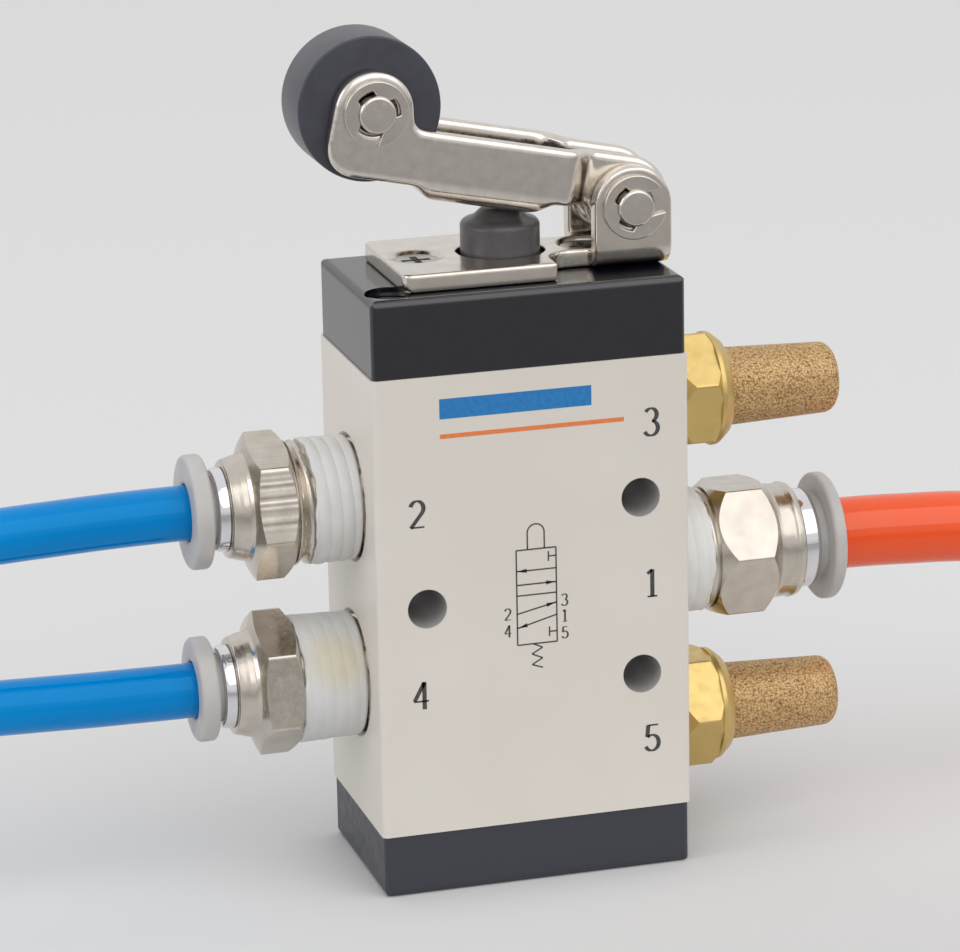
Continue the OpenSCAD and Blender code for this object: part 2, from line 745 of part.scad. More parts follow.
// Side outline of the lever's arms from the joggle to the roller, with the dip of the web
module arm_outline() {
    translate([jog_end, -arm_low]) square([heel_u - foot_r - jog_end, arm_top + arm_low]);
    translate([heel_u - foot_r, foot_r - arm_low]) square([foot_r, roller_v + arm_low - foot_r]);
    translate([heel_u - foot_r, foot_r - arm_low]) circle(foot_r);
    translate([roller_u - head_r, 0]) square([2 * head_r - foot_r, roller_v]);
    translate([roller_u, roller_v]) circle(head_r);
    translate([roller_u - head_r - valley_r, arm_top]) difference() {
        square([valley_r + eps, min(valley_r, roller_v - arm_top)]);
        translate([0, valley_r]) circle(valley_r);
    }
    polygon([[web_start, -web_low], [web_end, -web_low],
        [web_end + web_low - arm_low, -arm_low], [web_start - web_low + arm_low, -arm_low]]);
}

// Channel section of the lever in y and z, half-width w, rounded at its floor with radius r
module channel_section(w, floor_v, r) {
    translate([-w, floor_v + r]) square([2 * w, roller_v + 2 * head_r]);
    translate([r - w, floor_v]) square([2 * (w - r), r]);
    for (s = [-1, 1]) translate([s * (w - r), floor_v + r]) circle(r);
}

// One joggled arm end, seen from above, that brings the arm inside the ears
module joggle_outline() {
    polygon([[tail_u, tail_out], [tail_u, tail_out - sheet_t], [tail_u + jog_shift, tail_out - sheet_t],
        [jog_end, arm_in], [jog_end, lever_w / 2], [jog_end - jog_shift, lever_w / 2]]);
}

// Side outline of the arm end round the pivot
module tail_outline() {
    translate([0, arm_top - tail_r]) circle(tail_r);
    translate([0, -arm_low]) square([tail_u, arm_top + arm_low]);
}

// End of one arm, from the pivot to the start of the channel
module arm_end() {
    translate([0, 0, -arm_low]) linear_extrude(arm_top + arm_low) joggle_outline();
    translate([0, tail_out - sheet_t / 2, 0]) across(sheet_t) tail_outline();
}

module lever() {
    hole_d = pin_d + 2 * pin_clear;
    color("#bdb9b0") on_lever() difference() {
        union() {
            intersection() {
                along(0, heel_u) difference() {
                    channel_section(lever_w / 2, -web_low, lever_bend_r);
                    channel_section(arm_in, sheet_t - web_low, lever_bend_r - sheet_t);
                }
                across(lever_w) arm_outline();
            }
            arm_end();
            mirror([0, 1, 0]) arm_end();
        }
        translate([web_end, -arm_in, -web_low - eps]) cube([heel_u, 2 * arm_in, web_low + arm_top]);
        translate([jog_end, -arm_in, -web_low - eps])
            cube([web_start - jog_end, 2 * arm_in, sheet_t + eps]);
        rotate([90, 0, 0]) cylinder(d = hole_d, h = lever_w, center = true);
        translate([roller_u, 0, roller_v]) rotate([90, 0, 0])
            cylinder(d = hole_d, h = lever_w + 2 * eps, center = true);
    }
}

// Headless pin along y with a ring groove outside the sheet at each end
module grooved_pin(sheet_out) {
    half = sheet_out + pin_out;
    rotate([90, 0, 0]) difference() {
        cylinder(d = pin_d, h = 2 * half, center = true);
        for (s = [-1, 1]) translate([0, 0, s * (sheet_out + ring_gap + ring_groove_w / 2)])
            translate([0, 0, -ring_groove_w / 2]) collar_ring(ring_groove_d / 2, pin_d, ring_groove_w);
    }
}

// Retaining ring with three inner prongs and an open mouth, flat on z = 0
module retaining_ring() {
    linear_extrude(ring_t) difference() {
        circle(d = ring_d);
        circle(d = ring_groove_d + 2 * fit);
        translate([0, -ring_d / 2]) square([ring_mouth, ring_d], center = true);
        for (s = [-1, 1]) intersection() {
            circle(d = (ring_d + ring_groove_d) / 2);
            rotate([0, 0, s * ring_slot_turn]) translate([0, ring_d / 4])
                square([ring_slot_w, ring_d / 2], center = true);
        }
    }
}

// Pair of retaining rings outside a sheet on a pin along y
module ring_pair(sheet_out, turn) {
    for (s = [-1, 1]) translate([0, s * (sheet_out + 2 * ring_gap + ring_t / 2), 0]) rotate([90, 0, 0])
        translate([0, 0, -ring_t / 2]) rotate([0, 0, turn]) retaining_ring();
}

module pivot_pin() {
    color("#a9a59c") translate([pivot_x, 0, pivot_z]) grooved_pin(ear_out);
}

module pivot_rings() {
    color("#99958d") translate([pivot_x, 0, pivot_z]) ring_pair(ear_out, pivot_ring_turn);
}

module roller_pin() {
    color("#a9a59c") on_lever() translate([roller_u, 0, roller_v]) grooved_pin(lever_w / 2);
}

module roller_rings() {
    color("#99958d") on_lever() translate([roller_u, 0, roller_v]) ring_pair(lever_w / 2, roller_ring_turn);
}

module roller() {
    bore_r = pin_d / 2 + pin_clear;
    rim = roller_d / 2 - roller_edge_r;
    half = roller_w / 2 - roller_edge_r;
    color("#26272b") on_lever() translate([roller_u, 0, roller_v]) rotate([90, 0, 0]) rotate_extrude() {
        translate([bore_r, -roller_w / 2]) square([rim - bore_r, roller_w]);
        translate([bore_r, -half]) square([roller_d / 2 - bore_r, 2 * half]);
        for (s = [-1, 1]) translate([rim, s * half]) circle(roller_edge_r);
    }
}

// Diameter of the taper thread at height z above the port face
function thread_d(z) = port_d - 2 * fit + z * taper;

// Hexagon along z with both ends turned to a cone
module turned_hex(af, length, chamfer, turn) {
    corner_r = af / 2 / cos(30);
    tip_r = corner_r - chamfer / tan(30);
    blank_r = corner_r + eps;
    cone_h = (blank_r - tip_r) * tan(30);
    intersection() {
        rotate([0, 0, turn]) cylinder(r = corner_r, h = length, $fn = 6);
        rotate_extrude() polygon([[0, 0], [tip_r, 0], [blank_r, cone_h],
            [blank_r, length - cone_h], [tip_r, length], [0, length]]);
    }
}

module fitting_body(tube_d, thread_out, hex_l, barrel_l, turn) {
    mouth = thread_out + hex_l + barrel_l;
    barrel_r = tube_d / 2 + barrel_wall;
    collet_r = tube_d / 2 + collet_wall + fit;
    difference() {
        union() {
            translate([0, 0, -thread_in])
                cylinder(d1 = thread_d(-thread_in), d2 = thread_d(thread_out), h = thread_in + thread_out);
            translate([0, 0, thread_out]) turned_hex(fitting_af, hex_l, hex_chamfer, turn);
            translate([0, 0, mouth - barrel_l - eps])
                cylinder(r = barrel_r, h = barrel_l - barrel_chamfer + eps);
            translate([0, 0, mouth - barrel_chamfer])
                cylinder(r1 = barrel_r, r2 = barrel_r - barrel_chamfer, h = barrel_chamfer);
        }
        translate([0, 0, -thread_in - eps])
            cylinder(d = tube_d - 2 * stop_step, h = mouth + thread_in + 2 * eps);
        translate([0, 0, tube_stop]) cylinder(d = tube_d + 2 * tube_slip, h = mouth);
        translate([0, 0, mouth - collet_depth - seal_depth]) cylinder(r = collet_r, h = mouth);
    }
}

// White compound on the thread between the port face and the bare turns
module fitting_sealant(thread_out, bare) {
    z0 = sealant_end_gap;
    z1 = thread_out - bare - sealant_end_gap;
    d0 = thread_d(z0);
    d1 = thread_d(z1);
    rotate_extrude() polygon([[d0 / 2 + fit, z0], [d0 / 2 + sealant_t, z0],
        [d1 / 2 + sealant_t, z1], [d1 / 2 + fit, z1]]);
}

// Chromed ring pressed into the barrel's mouth, which guides the collar
module fitting_guide(tube_d, mouth, guide_out) {
    r_out = tube_d / 2 + collet_wall;
    r_in = r_out - guide_wall;
    difference() {
        union() {
            translate([0, 0, mouth - guide_depth]) cylinder(r = r_out, h = guide_depth + eps);
            translate([0, 0, mouth]) cylinder(r1 = r_out + guide_lip, r2 = r_out, h = guide_out);
        }
        translate([0, 0, mouth - guide_depth - eps])
            cylinder(r = r_in, h = guide_depth + guide_out + 2 * eps);
    }
}

// Release collar: a thin sleeve round the tube with a wide rounded flange
module fitting_collar(tube_d, mouth, guide_out, rim) {
    r_in = tube_d / 2 + tube_slip;
    r_sleeve = r_in + collar_wall;
    rim_r = tube_d / 2 + rim;
    foot = mouth + guide_out + collar_travel + collar_end_gap;
    top = foot + collar_flange_h;
    edge = collar_flange_h * collar_edge_share;
    rotate_extrude() {
        translate([r_in, mouth - collar_sleeve])
            square([r_sleeve - r_in, foot - mouth + collar_sleeve + edge]);
        translate([r_in, foot]) square([rim_r - edge - r_in, collar_flange_h - edge]);
        translate([r_in, foot + edge]) square([rim_r - r_in, collar_flange_h - 2 * edge]);
        translate([rim_r - edge, foot + edge]) circle(edge);
        polygon([[r_in, top - edge - eps], [rim_r - edge, top - edge - eps],
            [rim_r - edge, top], [r_in + collar_lead_in, top]]);
        translate([rim_r - edge, top - edge]) circle(edge);
    }
}

// Spring steel claw ring that grips the tube, with slits between its claws
module fitting_collet(tube_d, mouth) {
    r_in = tube_d / 2 + fit;
    r_out = tube_d / 2 + collet_wall;
    h = collet_depth - collar_sleeve - collar_travel - collet_end_gap;
    translate([0, 0, mouth - collet_depth + fit]) difference() {
        cylinder(r = r_out, h = h);
        translate([0, 0, -eps]) cylinder(r = r_in, h = h + 2 * eps);
        translate([0, 0, -eps]) cylinder(r1 = r_out - claw_edge, r2 = r_in, h = h + eps);
        for (k = [0:claws - 1]) rotate([0, 0, 360 * k / claws])
            translate([r_in - eps, -claw_slit / 2, h / 2])
                cube([r_out - r_in - claw_edge + eps, claw_slit, h]);
    }
}

// Lip seal round the tube's end
module fitting_seal(tube_d, mouth) {
    r_in = tube_d / 2 + fit;
    r_out = tube_d / 2 + collet_wall;
    translate([0, 0, mouth - collet_depth - seal_depth + fit])
        collar_ring(r_in, r_out, seal_depth - 2 * fit);
}

module upper_fitting_body() {
    color("#a49b8c") on_left(upper_z)
        fitting_body(outlet_tube_d, outlet_thread_out, outlet_hex_l, outlet_barrel_l, upper_hex_turn);
}

module upper_fitting_sealant() {
    color("#d8d9d8") on_left(upper_z) fitting_sealant(outlet_thread_out, upper_bare);
}

module upper_fitting_guide() {
    color("#cfcfd4") on_left(upper_z) fitting_guide(outlet_tube_d, outlet_mouth, outlet_guide_out);
}

module upper_fitting_collar() {
    color("#c4c0bd") on_left(upper_z)
        fitting_collar(outlet_tube_d, outlet_mouth, outlet_guide_out, upper_collar_rim);
}

module upper_fitting_collet() {
    color("#b4b4b4") on_left(upper_z) fitting_collet(outlet_tube_d, outlet_mouth);
}

module upper_fitting_seal() {
    color("#2a2a2c") on_left(upper_z) fitting_seal(outlet_tube_d, outlet_mouth);
}

module lower_fitting_body() {
    color("#a49b8c") on_left(lower_z)
        fitting_body(outlet_tube_d, outlet_thread_out, outlet_hex_l, outlet_barrel_l, lower_hex_turn);
}

module lower_fitting_sealant() {
    color("#d8d9d8") on_left(lower_z) fitting_sealant(outlet_thread_out, lower_bare);
}

module lower_fitting_guide() {
    color("#cfcfd4") on_left(lower_z) fitting_guide(outlet_tube_d, outlet_mouth, outlet_guide_out);
}

module lower_fitting_collar() {
    color("#c4c0bd") on_left(lower_z)
        fitting_collar(outlet_tube_d, outlet_mouth, outlet_guide_out, lower_collar_rim);
}

module lower_fitting_collet() {
    color("#b4b4b4") on_left(lower_z) fitting_collet(outlet_tube_d, outlet_mouth);
}

module lower_fitting_seal() {
    color("#2a2a2c") on_left(lower_z) fitting_seal(outlet_tube_d, outlet_mouth);
}

module supply_fitting_body() {
    color("#b3ab9f") on_right(supply_z)
        fitting_body(supply_tube_d, supply_thread_out, supply_hex_l, supply_barrel_l, supply_hex_turn);
}

module supply_fitting_sealant() {
    color("#d8d9d8") on_right(supply_z) fitting_sealant(supply_thread_out, supply_bare);
}

module supply_fitting_guide() {
    color("#cfcfd4") on_right(supply_z) fitting_guide(supply_tube_d, supply_mouth, supply_guide_out);
}

module supply_fitting_collar() {
    color("#c4c0bd") on_right(supply_z)
        fitting_collar(supply_tube_d, supply_mouth, supply_guide_out, supply_collar_rim);
}

module supply_fitting_collet() {
    color("#b4b4b4") on_right(supply_z) fitting_collet(supply_tube_d, supply_mouth);
}

module supply_fitting_seal() {
    color("#2a2a2c") on_right(supply_z) fitting_seal(supply_tube_d, supply_mouth);
}

// Brass half of a silencer: thread, hexagon and a round collar that holds the element
module silencer_body(turn) {
    hex_top = silencer_seat + silencer_hex_l;
    collar_r = silencer_af / 2 - silencer_step;
    top = hex_top + silencer_collar_l;
    edge = silencer_collar_l / 2;
    difference() {
        union() {
            translate([0, 0, -silencer_thread_in])
                cylinder(d = exhaust_d - 2 * fit, h = silencer_thread_in + silencer_seat + eps);
            translate([0, 0, silencer_seat]) turned_hex(silencer_af, silencer_hex_l, hex_chamfer, turn);
            translate([0, 0, hex_top - eps]) cylinder(r = collar_r, h = silencer_collar_l - edge + eps);
            translate([0, 0, top - edge])
                cylinder(r1 = collar_r, r2 = element_d / 2 + silencer_lip, h = edge);
        }
        translate([0, 0, -silencer_thread_in - eps])
            cylinder(d = silencer_hole_d, h = top + silencer_thread_in + 2 * eps);
        translate([0, 0, top - element_root]) cylinder(d = element_d + 2 * fit, h = element_root + eps);
    }
}

// Hollow porous element with a tapered wall and a rounded tip
module silencer_element() {
    foot = silencer_seat + silencer_hex_l + silencer_collar_l - element_root;
    tip = foot + element_root + element_l;
    nose_r = element_tip_d / 2 - element_flat_r;
    slope = (element_d - element_tip_d) / 2;
    rotate_extrude() difference() {
        union() {
            polygon([[0, foot], [element_d / 2, foot], [element_d / 2, foot + element_root],
                [element_d / 2 - slope, tip - nose_r], [0, tip - nose_r]]);
            translate([0, tip - nose_r]) square([element_tip_d / 2 - nose_r, nose_r]);
            intersection() {
                translate([element_tip_d / 2 - nose_r, tip - nose_r]) circle(nose_r);
                translate([0, tip - nose_r]) square([element_tip_d / 2, nose_r]);
            }
        }
        translate([0, foot - eps])
            square([element_tip_d / 2 - element_wall, tip - element_wall - foot + eps]);
    }
}

module upper_silencer_body() {
    color("#c2bcae") on_right(upper_exhaust_z) silencer_body(upper_silencer_turn);
}

module upper_silencer_element() {
    color("#a5714f") on_right(upper_exhaust_z) silencer_element();
}

module lower_silencer_body() {
    color("#c2bcae") on_right(lower_exhaust_z) silencer_body(lower_silencer_turn);
}

module lower_silencer_element() {
    color("#a5714f") on_right(lower_exhaust_z) silencer_element();
}

// Unit direction from point i of a route to the next
function route_step(route, i) = (route[i + 1] - route[i]) / norm(route[i + 1] - route[i]);

// Direction of a route at point i, square on the end faces at both ends
function route_aim(route, i) =
    let (last = len(route) - 1)
    i == 0 ? route_step(route, 0) :
    i == last ? route_step(route, last - 1) :
    route_step(route, i - 1) + route_step(route, i);

// Flexible tube swept along its route, with its rings kept upright in the x-z plane of the route
module tube(route, d) {
    points = [for (i = [0:len(route) - 1], k = [0:tube_sides - 1])
        let (aim = route_aim(route, i) / norm(route_aim(route, i)), side = [0, 1, 0],
             up = cross(aim, side), a = 360 * k / tube_sides)
        route[i] + d / 2 * (cos(a) * side + sin(a) * up)];
    polyhedron(points, tube_faces(len(route), tube_sides), convexity = 4);
}

module upper_tube() {
    color("#0a78b5") tube(UPPER_ROUTE, outlet_tube_d);
}

module lower_tube() {
    color("#0a78b5") tube(LOWER_ROUTE, outlet_tube_d);
}

module supply_tube() {
    color("#dd5a2b") tube(SUPPLY_ROUTE, supply_tube_d);
}

valve_body();
top_cap();
bottom_cap();
end_seals();
cap_screws();
spool();
spool_seals();
return_spring();
plunger();
plunger_bush();
plunger_seal();
lever_bracket();
bracket_screws();
lever();
pivot_pin();
pivot_rings();
roller();
roller_pin();
roller_rings();
upper_fitting_body();
upper_fitting_sealant();
upper_fitting_guide();
upper_fitting_collar();
upper_fitting_collet();
upper_fitting_seal();
lower_fitting_body();
lower_fitting_sealant();
lower_fitting_guide();
lower_fitting_collar();
lower_fitting_collet();
lower_fitting_seal();
supply_fitting_body();
supply_fitting_sealant();
supply_fitting_guide();
supply_fitting_collar();
supply_fitting_collet();
supply_fitting_seal();
upper_silencer_body();
upper_silencer_element();
lower_silencer_body();
lower_silencer_element();
upper_tube();
lower_tube();
supply_tube();
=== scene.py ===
# %% [markdown]
# # Dressing a roller lever air valve
# The frame is a finished CAD model of a small compressed-air valve: a painted block with five ports, a
# spool inside, and a roller lever on top that pushes the spool down. This notebook gives the frame its
# finishes and replaces the pieces whose real surface is finer than the CAD solid, such as threads, porous
# metal and rolled sheet edges. Every new surface is worked out with numpy on a grid, in millimetres, and
# stored in metres.

# %% Load the frame
import math
from collections import namedtuple

import bmesh
import bpy
import numpy as np
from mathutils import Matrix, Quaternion, Vector


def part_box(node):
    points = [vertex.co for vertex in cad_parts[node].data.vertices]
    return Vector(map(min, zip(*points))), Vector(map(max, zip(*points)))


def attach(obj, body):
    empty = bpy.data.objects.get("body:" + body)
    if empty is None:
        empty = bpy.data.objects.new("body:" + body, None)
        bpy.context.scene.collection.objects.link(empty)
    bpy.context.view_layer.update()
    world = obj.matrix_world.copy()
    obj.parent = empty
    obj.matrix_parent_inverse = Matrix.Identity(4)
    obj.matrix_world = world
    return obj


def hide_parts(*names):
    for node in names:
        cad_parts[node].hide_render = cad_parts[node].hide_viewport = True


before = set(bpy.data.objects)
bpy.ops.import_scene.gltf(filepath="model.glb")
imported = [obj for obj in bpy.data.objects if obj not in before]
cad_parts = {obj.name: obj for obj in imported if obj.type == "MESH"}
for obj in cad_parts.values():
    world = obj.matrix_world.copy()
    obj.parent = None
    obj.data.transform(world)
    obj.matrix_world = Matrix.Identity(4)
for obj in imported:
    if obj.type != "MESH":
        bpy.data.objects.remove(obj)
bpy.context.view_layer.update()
MM = 0.001

# %% [markdown]
# ## The camera
# A product photograph is taken from far away with a long lens, so that upright edges stay nearly parallel.
# The camera could be nudged by eye, but here its place follows from a fit to the block's corners: a focal
# length in pixels, the eye's place, and three angles.

# %% Camera at the photograph's angle
PHOTO_W = 960
FOCAL_PX = 4387.8
SENSOR_MM = 36.0
EYE = Vector((-0.12815, -0.44050, 0.17751))
AZIMUTH = math.radians(-15.89)
ELEVATION = math.radians(16.33)
ROLL = math.radians(-1.152)


def in_scene(name, data, place=None, turn=None):
    """New object in the scene, at a place and turned by a quaternion where these are given."""
    thing = bpy.data.objects.new(name, data)
    if turn is not None:
        thing.location = place
        thing.rotation_mode = "QUATERNION"
        thing.rotation_quaternion = turn
    bpy.context.scene.collection.objects.link(thing)
    return thing


def aim_camera():
    """Looks along the direction given by azimuth and elevation, then rolls about the line of sight."""
    level = math.cos(ELEVATION)
    forward = Vector((-math.sin(AZIMUTH) * level, math.cos(AZIMUTH) * level, -math.sin(ELEVATION)))
    turn = forward.to_track_quat("-Z", "Y") @ Quaternion((0, 0, 1), ROLL)
    data = bpy.data.cameras.new("photo_camera")
    data.sensor_width = SENSOR_MM
    data.lens = FOCAL_PX * SENSOR_MM / PHOTO_W
    data.clip_start = 0.01
    bpy.context.scene.camera = in_scene("photo_camera", data, EYE, turn)
    return data.lens


print("lens in mm:", round(aim_camera(), 1))

# %% [markdown]
# ## From a grid of points to a mesh
# Most pieces here are turned or swept, so each is a grid of points: one index runs along the piece and the
# other round it. One helper joins neighbouring points with quads, closes the grid where it meets itself,
# merges the points that fall together at a pole, and turns the faces outwards by the sign of the volume.

# %% Grid helper
SHARP = math.radians(28)
JOIN = 0.0005 * MM


def grid_faces(rows, columns, closed_rows):
    """Quads between neighbouring rows; columns always wrap, and rows wrap if closed_rows is true."""
    index = np.arange(rows * columns).reshape(rows, columns)
    below = index if closed_rows else index[:-1]
    above = np.roll(index, -1, axis=0) if closed_rows else index[1:]
    quads = [below, np.roll(below, -1, axis=1), np.roll(above, -1, axis=1), above]
    return np.stack(quads, axis=-1).reshape(-1, 4)


def unit(vectors):
    """The same directions at length 1."""
    return vectors / np.linalg.norm(vectors, axis=-1, keepdims=True)


def signed_volume(points, quads):
    """Sum of the tetrahedra that each quad's two triangles make with the origin."""
    a, b, c, d = (points[quads[:, k]] for k in range(4))
    return (np.cross(a, b) * c).sum() / 6 + (np.cross(a, c) * d).sum() / 6


def joined(source, mesh, flat=None):
    """Fills a mesh with the source's faces, joined where their points meet. If flat is given, faces that
    turn by less than this angle become one."""
    shell = bmesh.new()
    shell.from_mesh(source)
    bmesh.ops.remove_doubles(shell, verts=shell.verts, dist=JOIN)
    if flat:
        bmesh.ops.dissolve_limit(shell, angle_limit=flat, verts=shell.verts, edges=shell.edges)
    shell.to_mesh(mesh)
    shell.free()
    return mesh


def piece_from_parts(name, parts, material, body, slot, node=None, **attributes):
    """One object from several grids. Each part is (points[rows, columns, 3] in mm, closed_rows).
    Each attribute is one number for every point, kept on the mesh for its material."""
    points, faces, start = [], [], 0
    for grid, closed_rows in parts:
        flat = np.asarray(grid, float).reshape(-1, 3)
        quads = grid_faces(grid.shape[0], grid.shape[1], closed_rows)
        if signed_volume(flat, quads) < 0:
            quads = quads[:, ::-1]
        points.append(flat)
        faces.append(quads + start)
        start += len(flat)
    mesh = bpy.data.meshes.new(name)
    mesh.from_pydata(np.concatenate(points) * MM, [], np.concatenate(faces))
    for label, values in attributes.items():
        mesh.attributes.new(label, "FLOAT", "POINT").data.foreach_set("value", np.ravel(values))
    return shown(name, joined(mesh, mesh), material, body, node)


def shown(name, mesh, material, body, node=None):
    """Puts a finished mesh into the scene with its material and its body.
    Where it stands for a CAD node, that node is hidden."""
    mesh.polygons.foreach_set("use_smooth", np.ones(len(mesh.polygons), bool))
    mesh.set_sharp_from_angle(angle=SHARP)
    mesh.materials.append(material)
    piece = in_scene(name, mesh)
    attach(piece, body)
    if node:
        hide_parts(node)
    return piece


print("edges sharper than", round(math.degrees(SHARP)), "degrees stay crisp")

# %% [markdown]
# ## Finishes from nodes
# Every finish is one Principled shader. What is the same all over is set on its sockets, and what varies,
# such as grain, scratches or stains, comes from textures on Object coordinates, so it stays on the piece.

# %% Node helpers


def finish(name, colour, **sockets):
    """New material with a Principled shader whose constant sockets are set from the arguments."""
    material = bpy.data.materials.new(name)
    material.use_nodes = True
    shader = material.node_tree.nodes["Principled BSDF"]
    shader.inputs["Base Color"].default_value = (*colour, 1)
    for socket, value in sockets.items():
        shader.inputs[socket.replace("_", " ").title().replace("Ior", "IOR")].default_value = value
    return material


def placed(material, kind, scale, shift=(0, 0, 0)):
    """Texture node of the kind, on Object coordinates that are scaled and then shifted."""
    nodes, links = material.node_tree.nodes, material.node_tree.links
    place, mapping, texture = (nodes.new("ShaderNode" + name) for name in ("TexCoord", "Mapping", kind))
    mapping.inputs["Scale"].default_value = scale
    mapping.inputs["Location"].default_value = shift
    links.new(place.outputs["Object"], mapping.inputs["Vector"])
    links.new(mapping.outputs["Vector"], texture.inputs["Vector"])
    return texture


def noise(material, size_mm, detail=3.0, stretch=(1, 1, 1)):
    """Noise whose features are about size_mm wide, stretched along the axes; returns its value socket."""
    texture = placed(material, "TexNoise", stretch)
    texture.inputs["Scale"].default_value = 1 / (size_mm * MM)
    texture.inputs["Detail"].default_value = detail
    return texture.outputs["Fac"]


def ramp(material, value, stops):
    """Colour ramp through the stops, each a place from 0 to 1 and a colour or a grey value."""
    node = material.node_tree.nodes.new("ShaderNodeValToRGB")
    elements = node.color_ramp.elements
    while len(elements) < len(stops):
        elements.new(0.5)
    for element, (place, colour) in zip(elements, stops):
        element.position = place
        element.color = (*colour, 1) if hasattr(colour, "__len__") else (colour, colour, colour, 1)
    material.node_tree.links.new(value, node.inputs["Fac"])
    return node.outputs["Color"]


def drive(material, socket, value):
    """Links a value to one socket of the shader."""
    shader = material.node_tree.nodes["Principled BSDF"]
    material.node_tree.links.new(value, shader.inputs[socket])


def tint(material, value, stops):
    """Drives the base colour by a ramp."""
    drive(material, "Base Color", ramp(material, value, stops))


def dull(material, size_mm, low, high):
    """Drives the roughness between low and high, by rich noise of about size_mm."""
    drive(material, "Roughness", ramp(material, noise(material, size_mm, 6.0), [(0.3, low), (0.7, high)]))


def relief(material, size_mm, depth_mm, strength, detail=3.0):
    """Bump of about depth_mm, by noise of about size_mm."""
    bump = material.node_tree.nodes.new("ShaderNodeBump")
    bump.inputs["Strength"].default_value = strength
    bump.inputs["Distance"].default_value = depth_mm * MM
    material.node_tree.links.new(noise(material, size_mm, detail), bump.inputs["Height"])
    drive(material, "Normal", bump.outputs["Normal"])


def mottled(name, dark, light, roughness, size_mm, detail, **sockets):
    """Finish that wanders between two tones, by noise of about size_mm."""
    material = finish(name, light, roughness=roughness, **sockets)
    tint(material, noise(material, size_mm, detail), [(0.3, dark), (0.7, light)])
    return material


print("finishes are built from noise and ramps")

# %% [markdown]
# ## Air tubes
# Each tube is extruded plastic, stiff enough to stand straight out of its fitting and then droop a little.
# The centre lines repeat the CAD routes: the distance from the stop inside the fitting, and the rise above
# the port's axis, in metres. A smooth curve through these points carries a hollow round section.

# %% Tube routes
UPPER_BEND = [(0, 0), (0.005, 0), (0.010, 0), (0.015, 0), (0.019, 0), (0.023, -0.00005), (0.027, -0.00015),
              (0.031, -0.0003), (0.035, -0.00045), (0.039, -0.00065), (0.043, -0.0009), (0.047, -0.00115),
              (0.051, -0.00145), (0.056, -0.00185), (0.061, -0.0023)]
LOWER_BEND = [(0, 0), (0.005, 0), (0.010, 0), (0.015, 0), (0.019, 0), (0.023, 0.00005), (0.027, 0.0001),
              (0.031, 0.0002), (0.035, 0.0003), (0.039, 0.0004), (0.043, 0.0005), (0.047, 0.00055),
              (0.051, 0.0006), (0.056, 0.00065), (0.061, 0.0007)]
SUPPLY_BEND = [(0, 0), (0.005, 0), (0.010, 0), (0.015, 0), (0.020, 0), (0.024, -0.0001), (0.028, -0.0003),
               (0.032, -0.0005), (0.037, -0.0009), (0.042, -0.00135), (0.047, -0.00185), (0.053, -0.0025),
               (0.059, -0.0032), (0.065, -0.00395), (0.071, -0.0047)]
TUBE_STOP = 0.0015
FACE_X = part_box("valve_body")[1].x
LEFT, RIGHT = -1, 1


def port_height(fitting):
    """Height of a port's axis in metres: the middle of its round collar."""
    low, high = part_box(fitting + "_collar")
    return (low.z + high.z) / 2


def tube_path(bend, side, height, steps=4):
    """Catmull-Rom curve through the route's points: each stretch blends its four nearest points."""
    run, rise = np.array(bend).T
    points = np.stack([side * (FACE_X + TUBE_STOP + run), 0 * run, height + rise], axis=1)
    ends = np.concatenate([[2 * points[0] - points[1]], points, [2 * points[-1] - points[-2]]])
    t = np.arange(steps)[:, None, None] / steps
    a, b, c, d = ends[:-3], ends[1:-2], ends[2:-1], ends[3:]
    curve = b + t * (c - a) / 2 + t**2 * (a - 2.5 * b + 2 * c - d / 2)
    curve += t**3 * (1.5 * (b - c) + (d - a) / 2)
    return np.concatenate([curve.transpose(1, 0, 2).reshape(-1, 3), points[-1:]])


def tube_wall(path, radius, wall, around=56, cut_ease=0.02):
    """Rings square on the path: out along the outer wall, over the cut end, and back along the bore."""
    aim = unit(np.gradient(path, axis=0))
    side = np.array([0.0, 1.0, 0.0])
    up = np.cross(aim, side)
    angle = np.linspace(0, 2 * math.pi, around, endpoint=False)
    spoke = np.cos(angle)[None, :, None] * side + np.sin(angle)[None, :, None] * up[:, None, :]
    edge = np.full(len(path), radius)
    edge[[0, -1]] = radius - cut_ease * wall
    outer = path[:, None, :] + edge[:, None, None] * spoke
    inner = path[:, None, :] + (radius - wall) * spoke
    return np.concatenate([outer, inner[::-1]]) / MM


print("tube runs in mm:", [round(bend[-1][0] / MM) for bend in (UPPER_BEND, LOWER_BEND, SUPPLY_BEND)])

# %% [markdown]
# The plastic of the tubes is deep in colour and glossy, so lamps show as sharp streaks along it. A white
# gloss would lay a pale veil over the whole tube, so the gloss takes a tint. Faint noise along its length
# keeps it alive.

# %% Tube finishes and pieces


def tube_finish(name, colour, deep, gloss, gloss_colour):
    """Deep colour under a gloss that has a tint of its own."""
    material = finish(name, colour, roughness=0.06, specular_ior_level=gloss,
                      specular_tint=(*gloss_colour, 1))
    tint(material, noise(material, 9, 2.0, (0.3, 1, 1)), [(0.35, deep), (0.65, colour)])
    return material


BLUE = tube_finish("blue_tube", (0.0, 0.225, 0.60), (0.0, 0.20, 0.56), 0.45, (0.25, 0.75, 1.0))
ORANGE = tube_finish("orange_tube", (0.90, 0.085, 0.0), (0.85, 0.07, 0.0), 0.85, (1.0, 0.85, 0.8))


def air_tube(place, bend, side, diameter, wall, material, slot):
    """One hollow tube with a plain cut end, which stands for its CAD rod."""
    path = tube_path(bend, side, port_height(place + "_fitting"))
    parts = [(tube_wall(path, diameter / 2, wall), True)]
    piece = piece_from_parts(place + "_air_tube", parts, material, "housing", slot, place + "_tube")


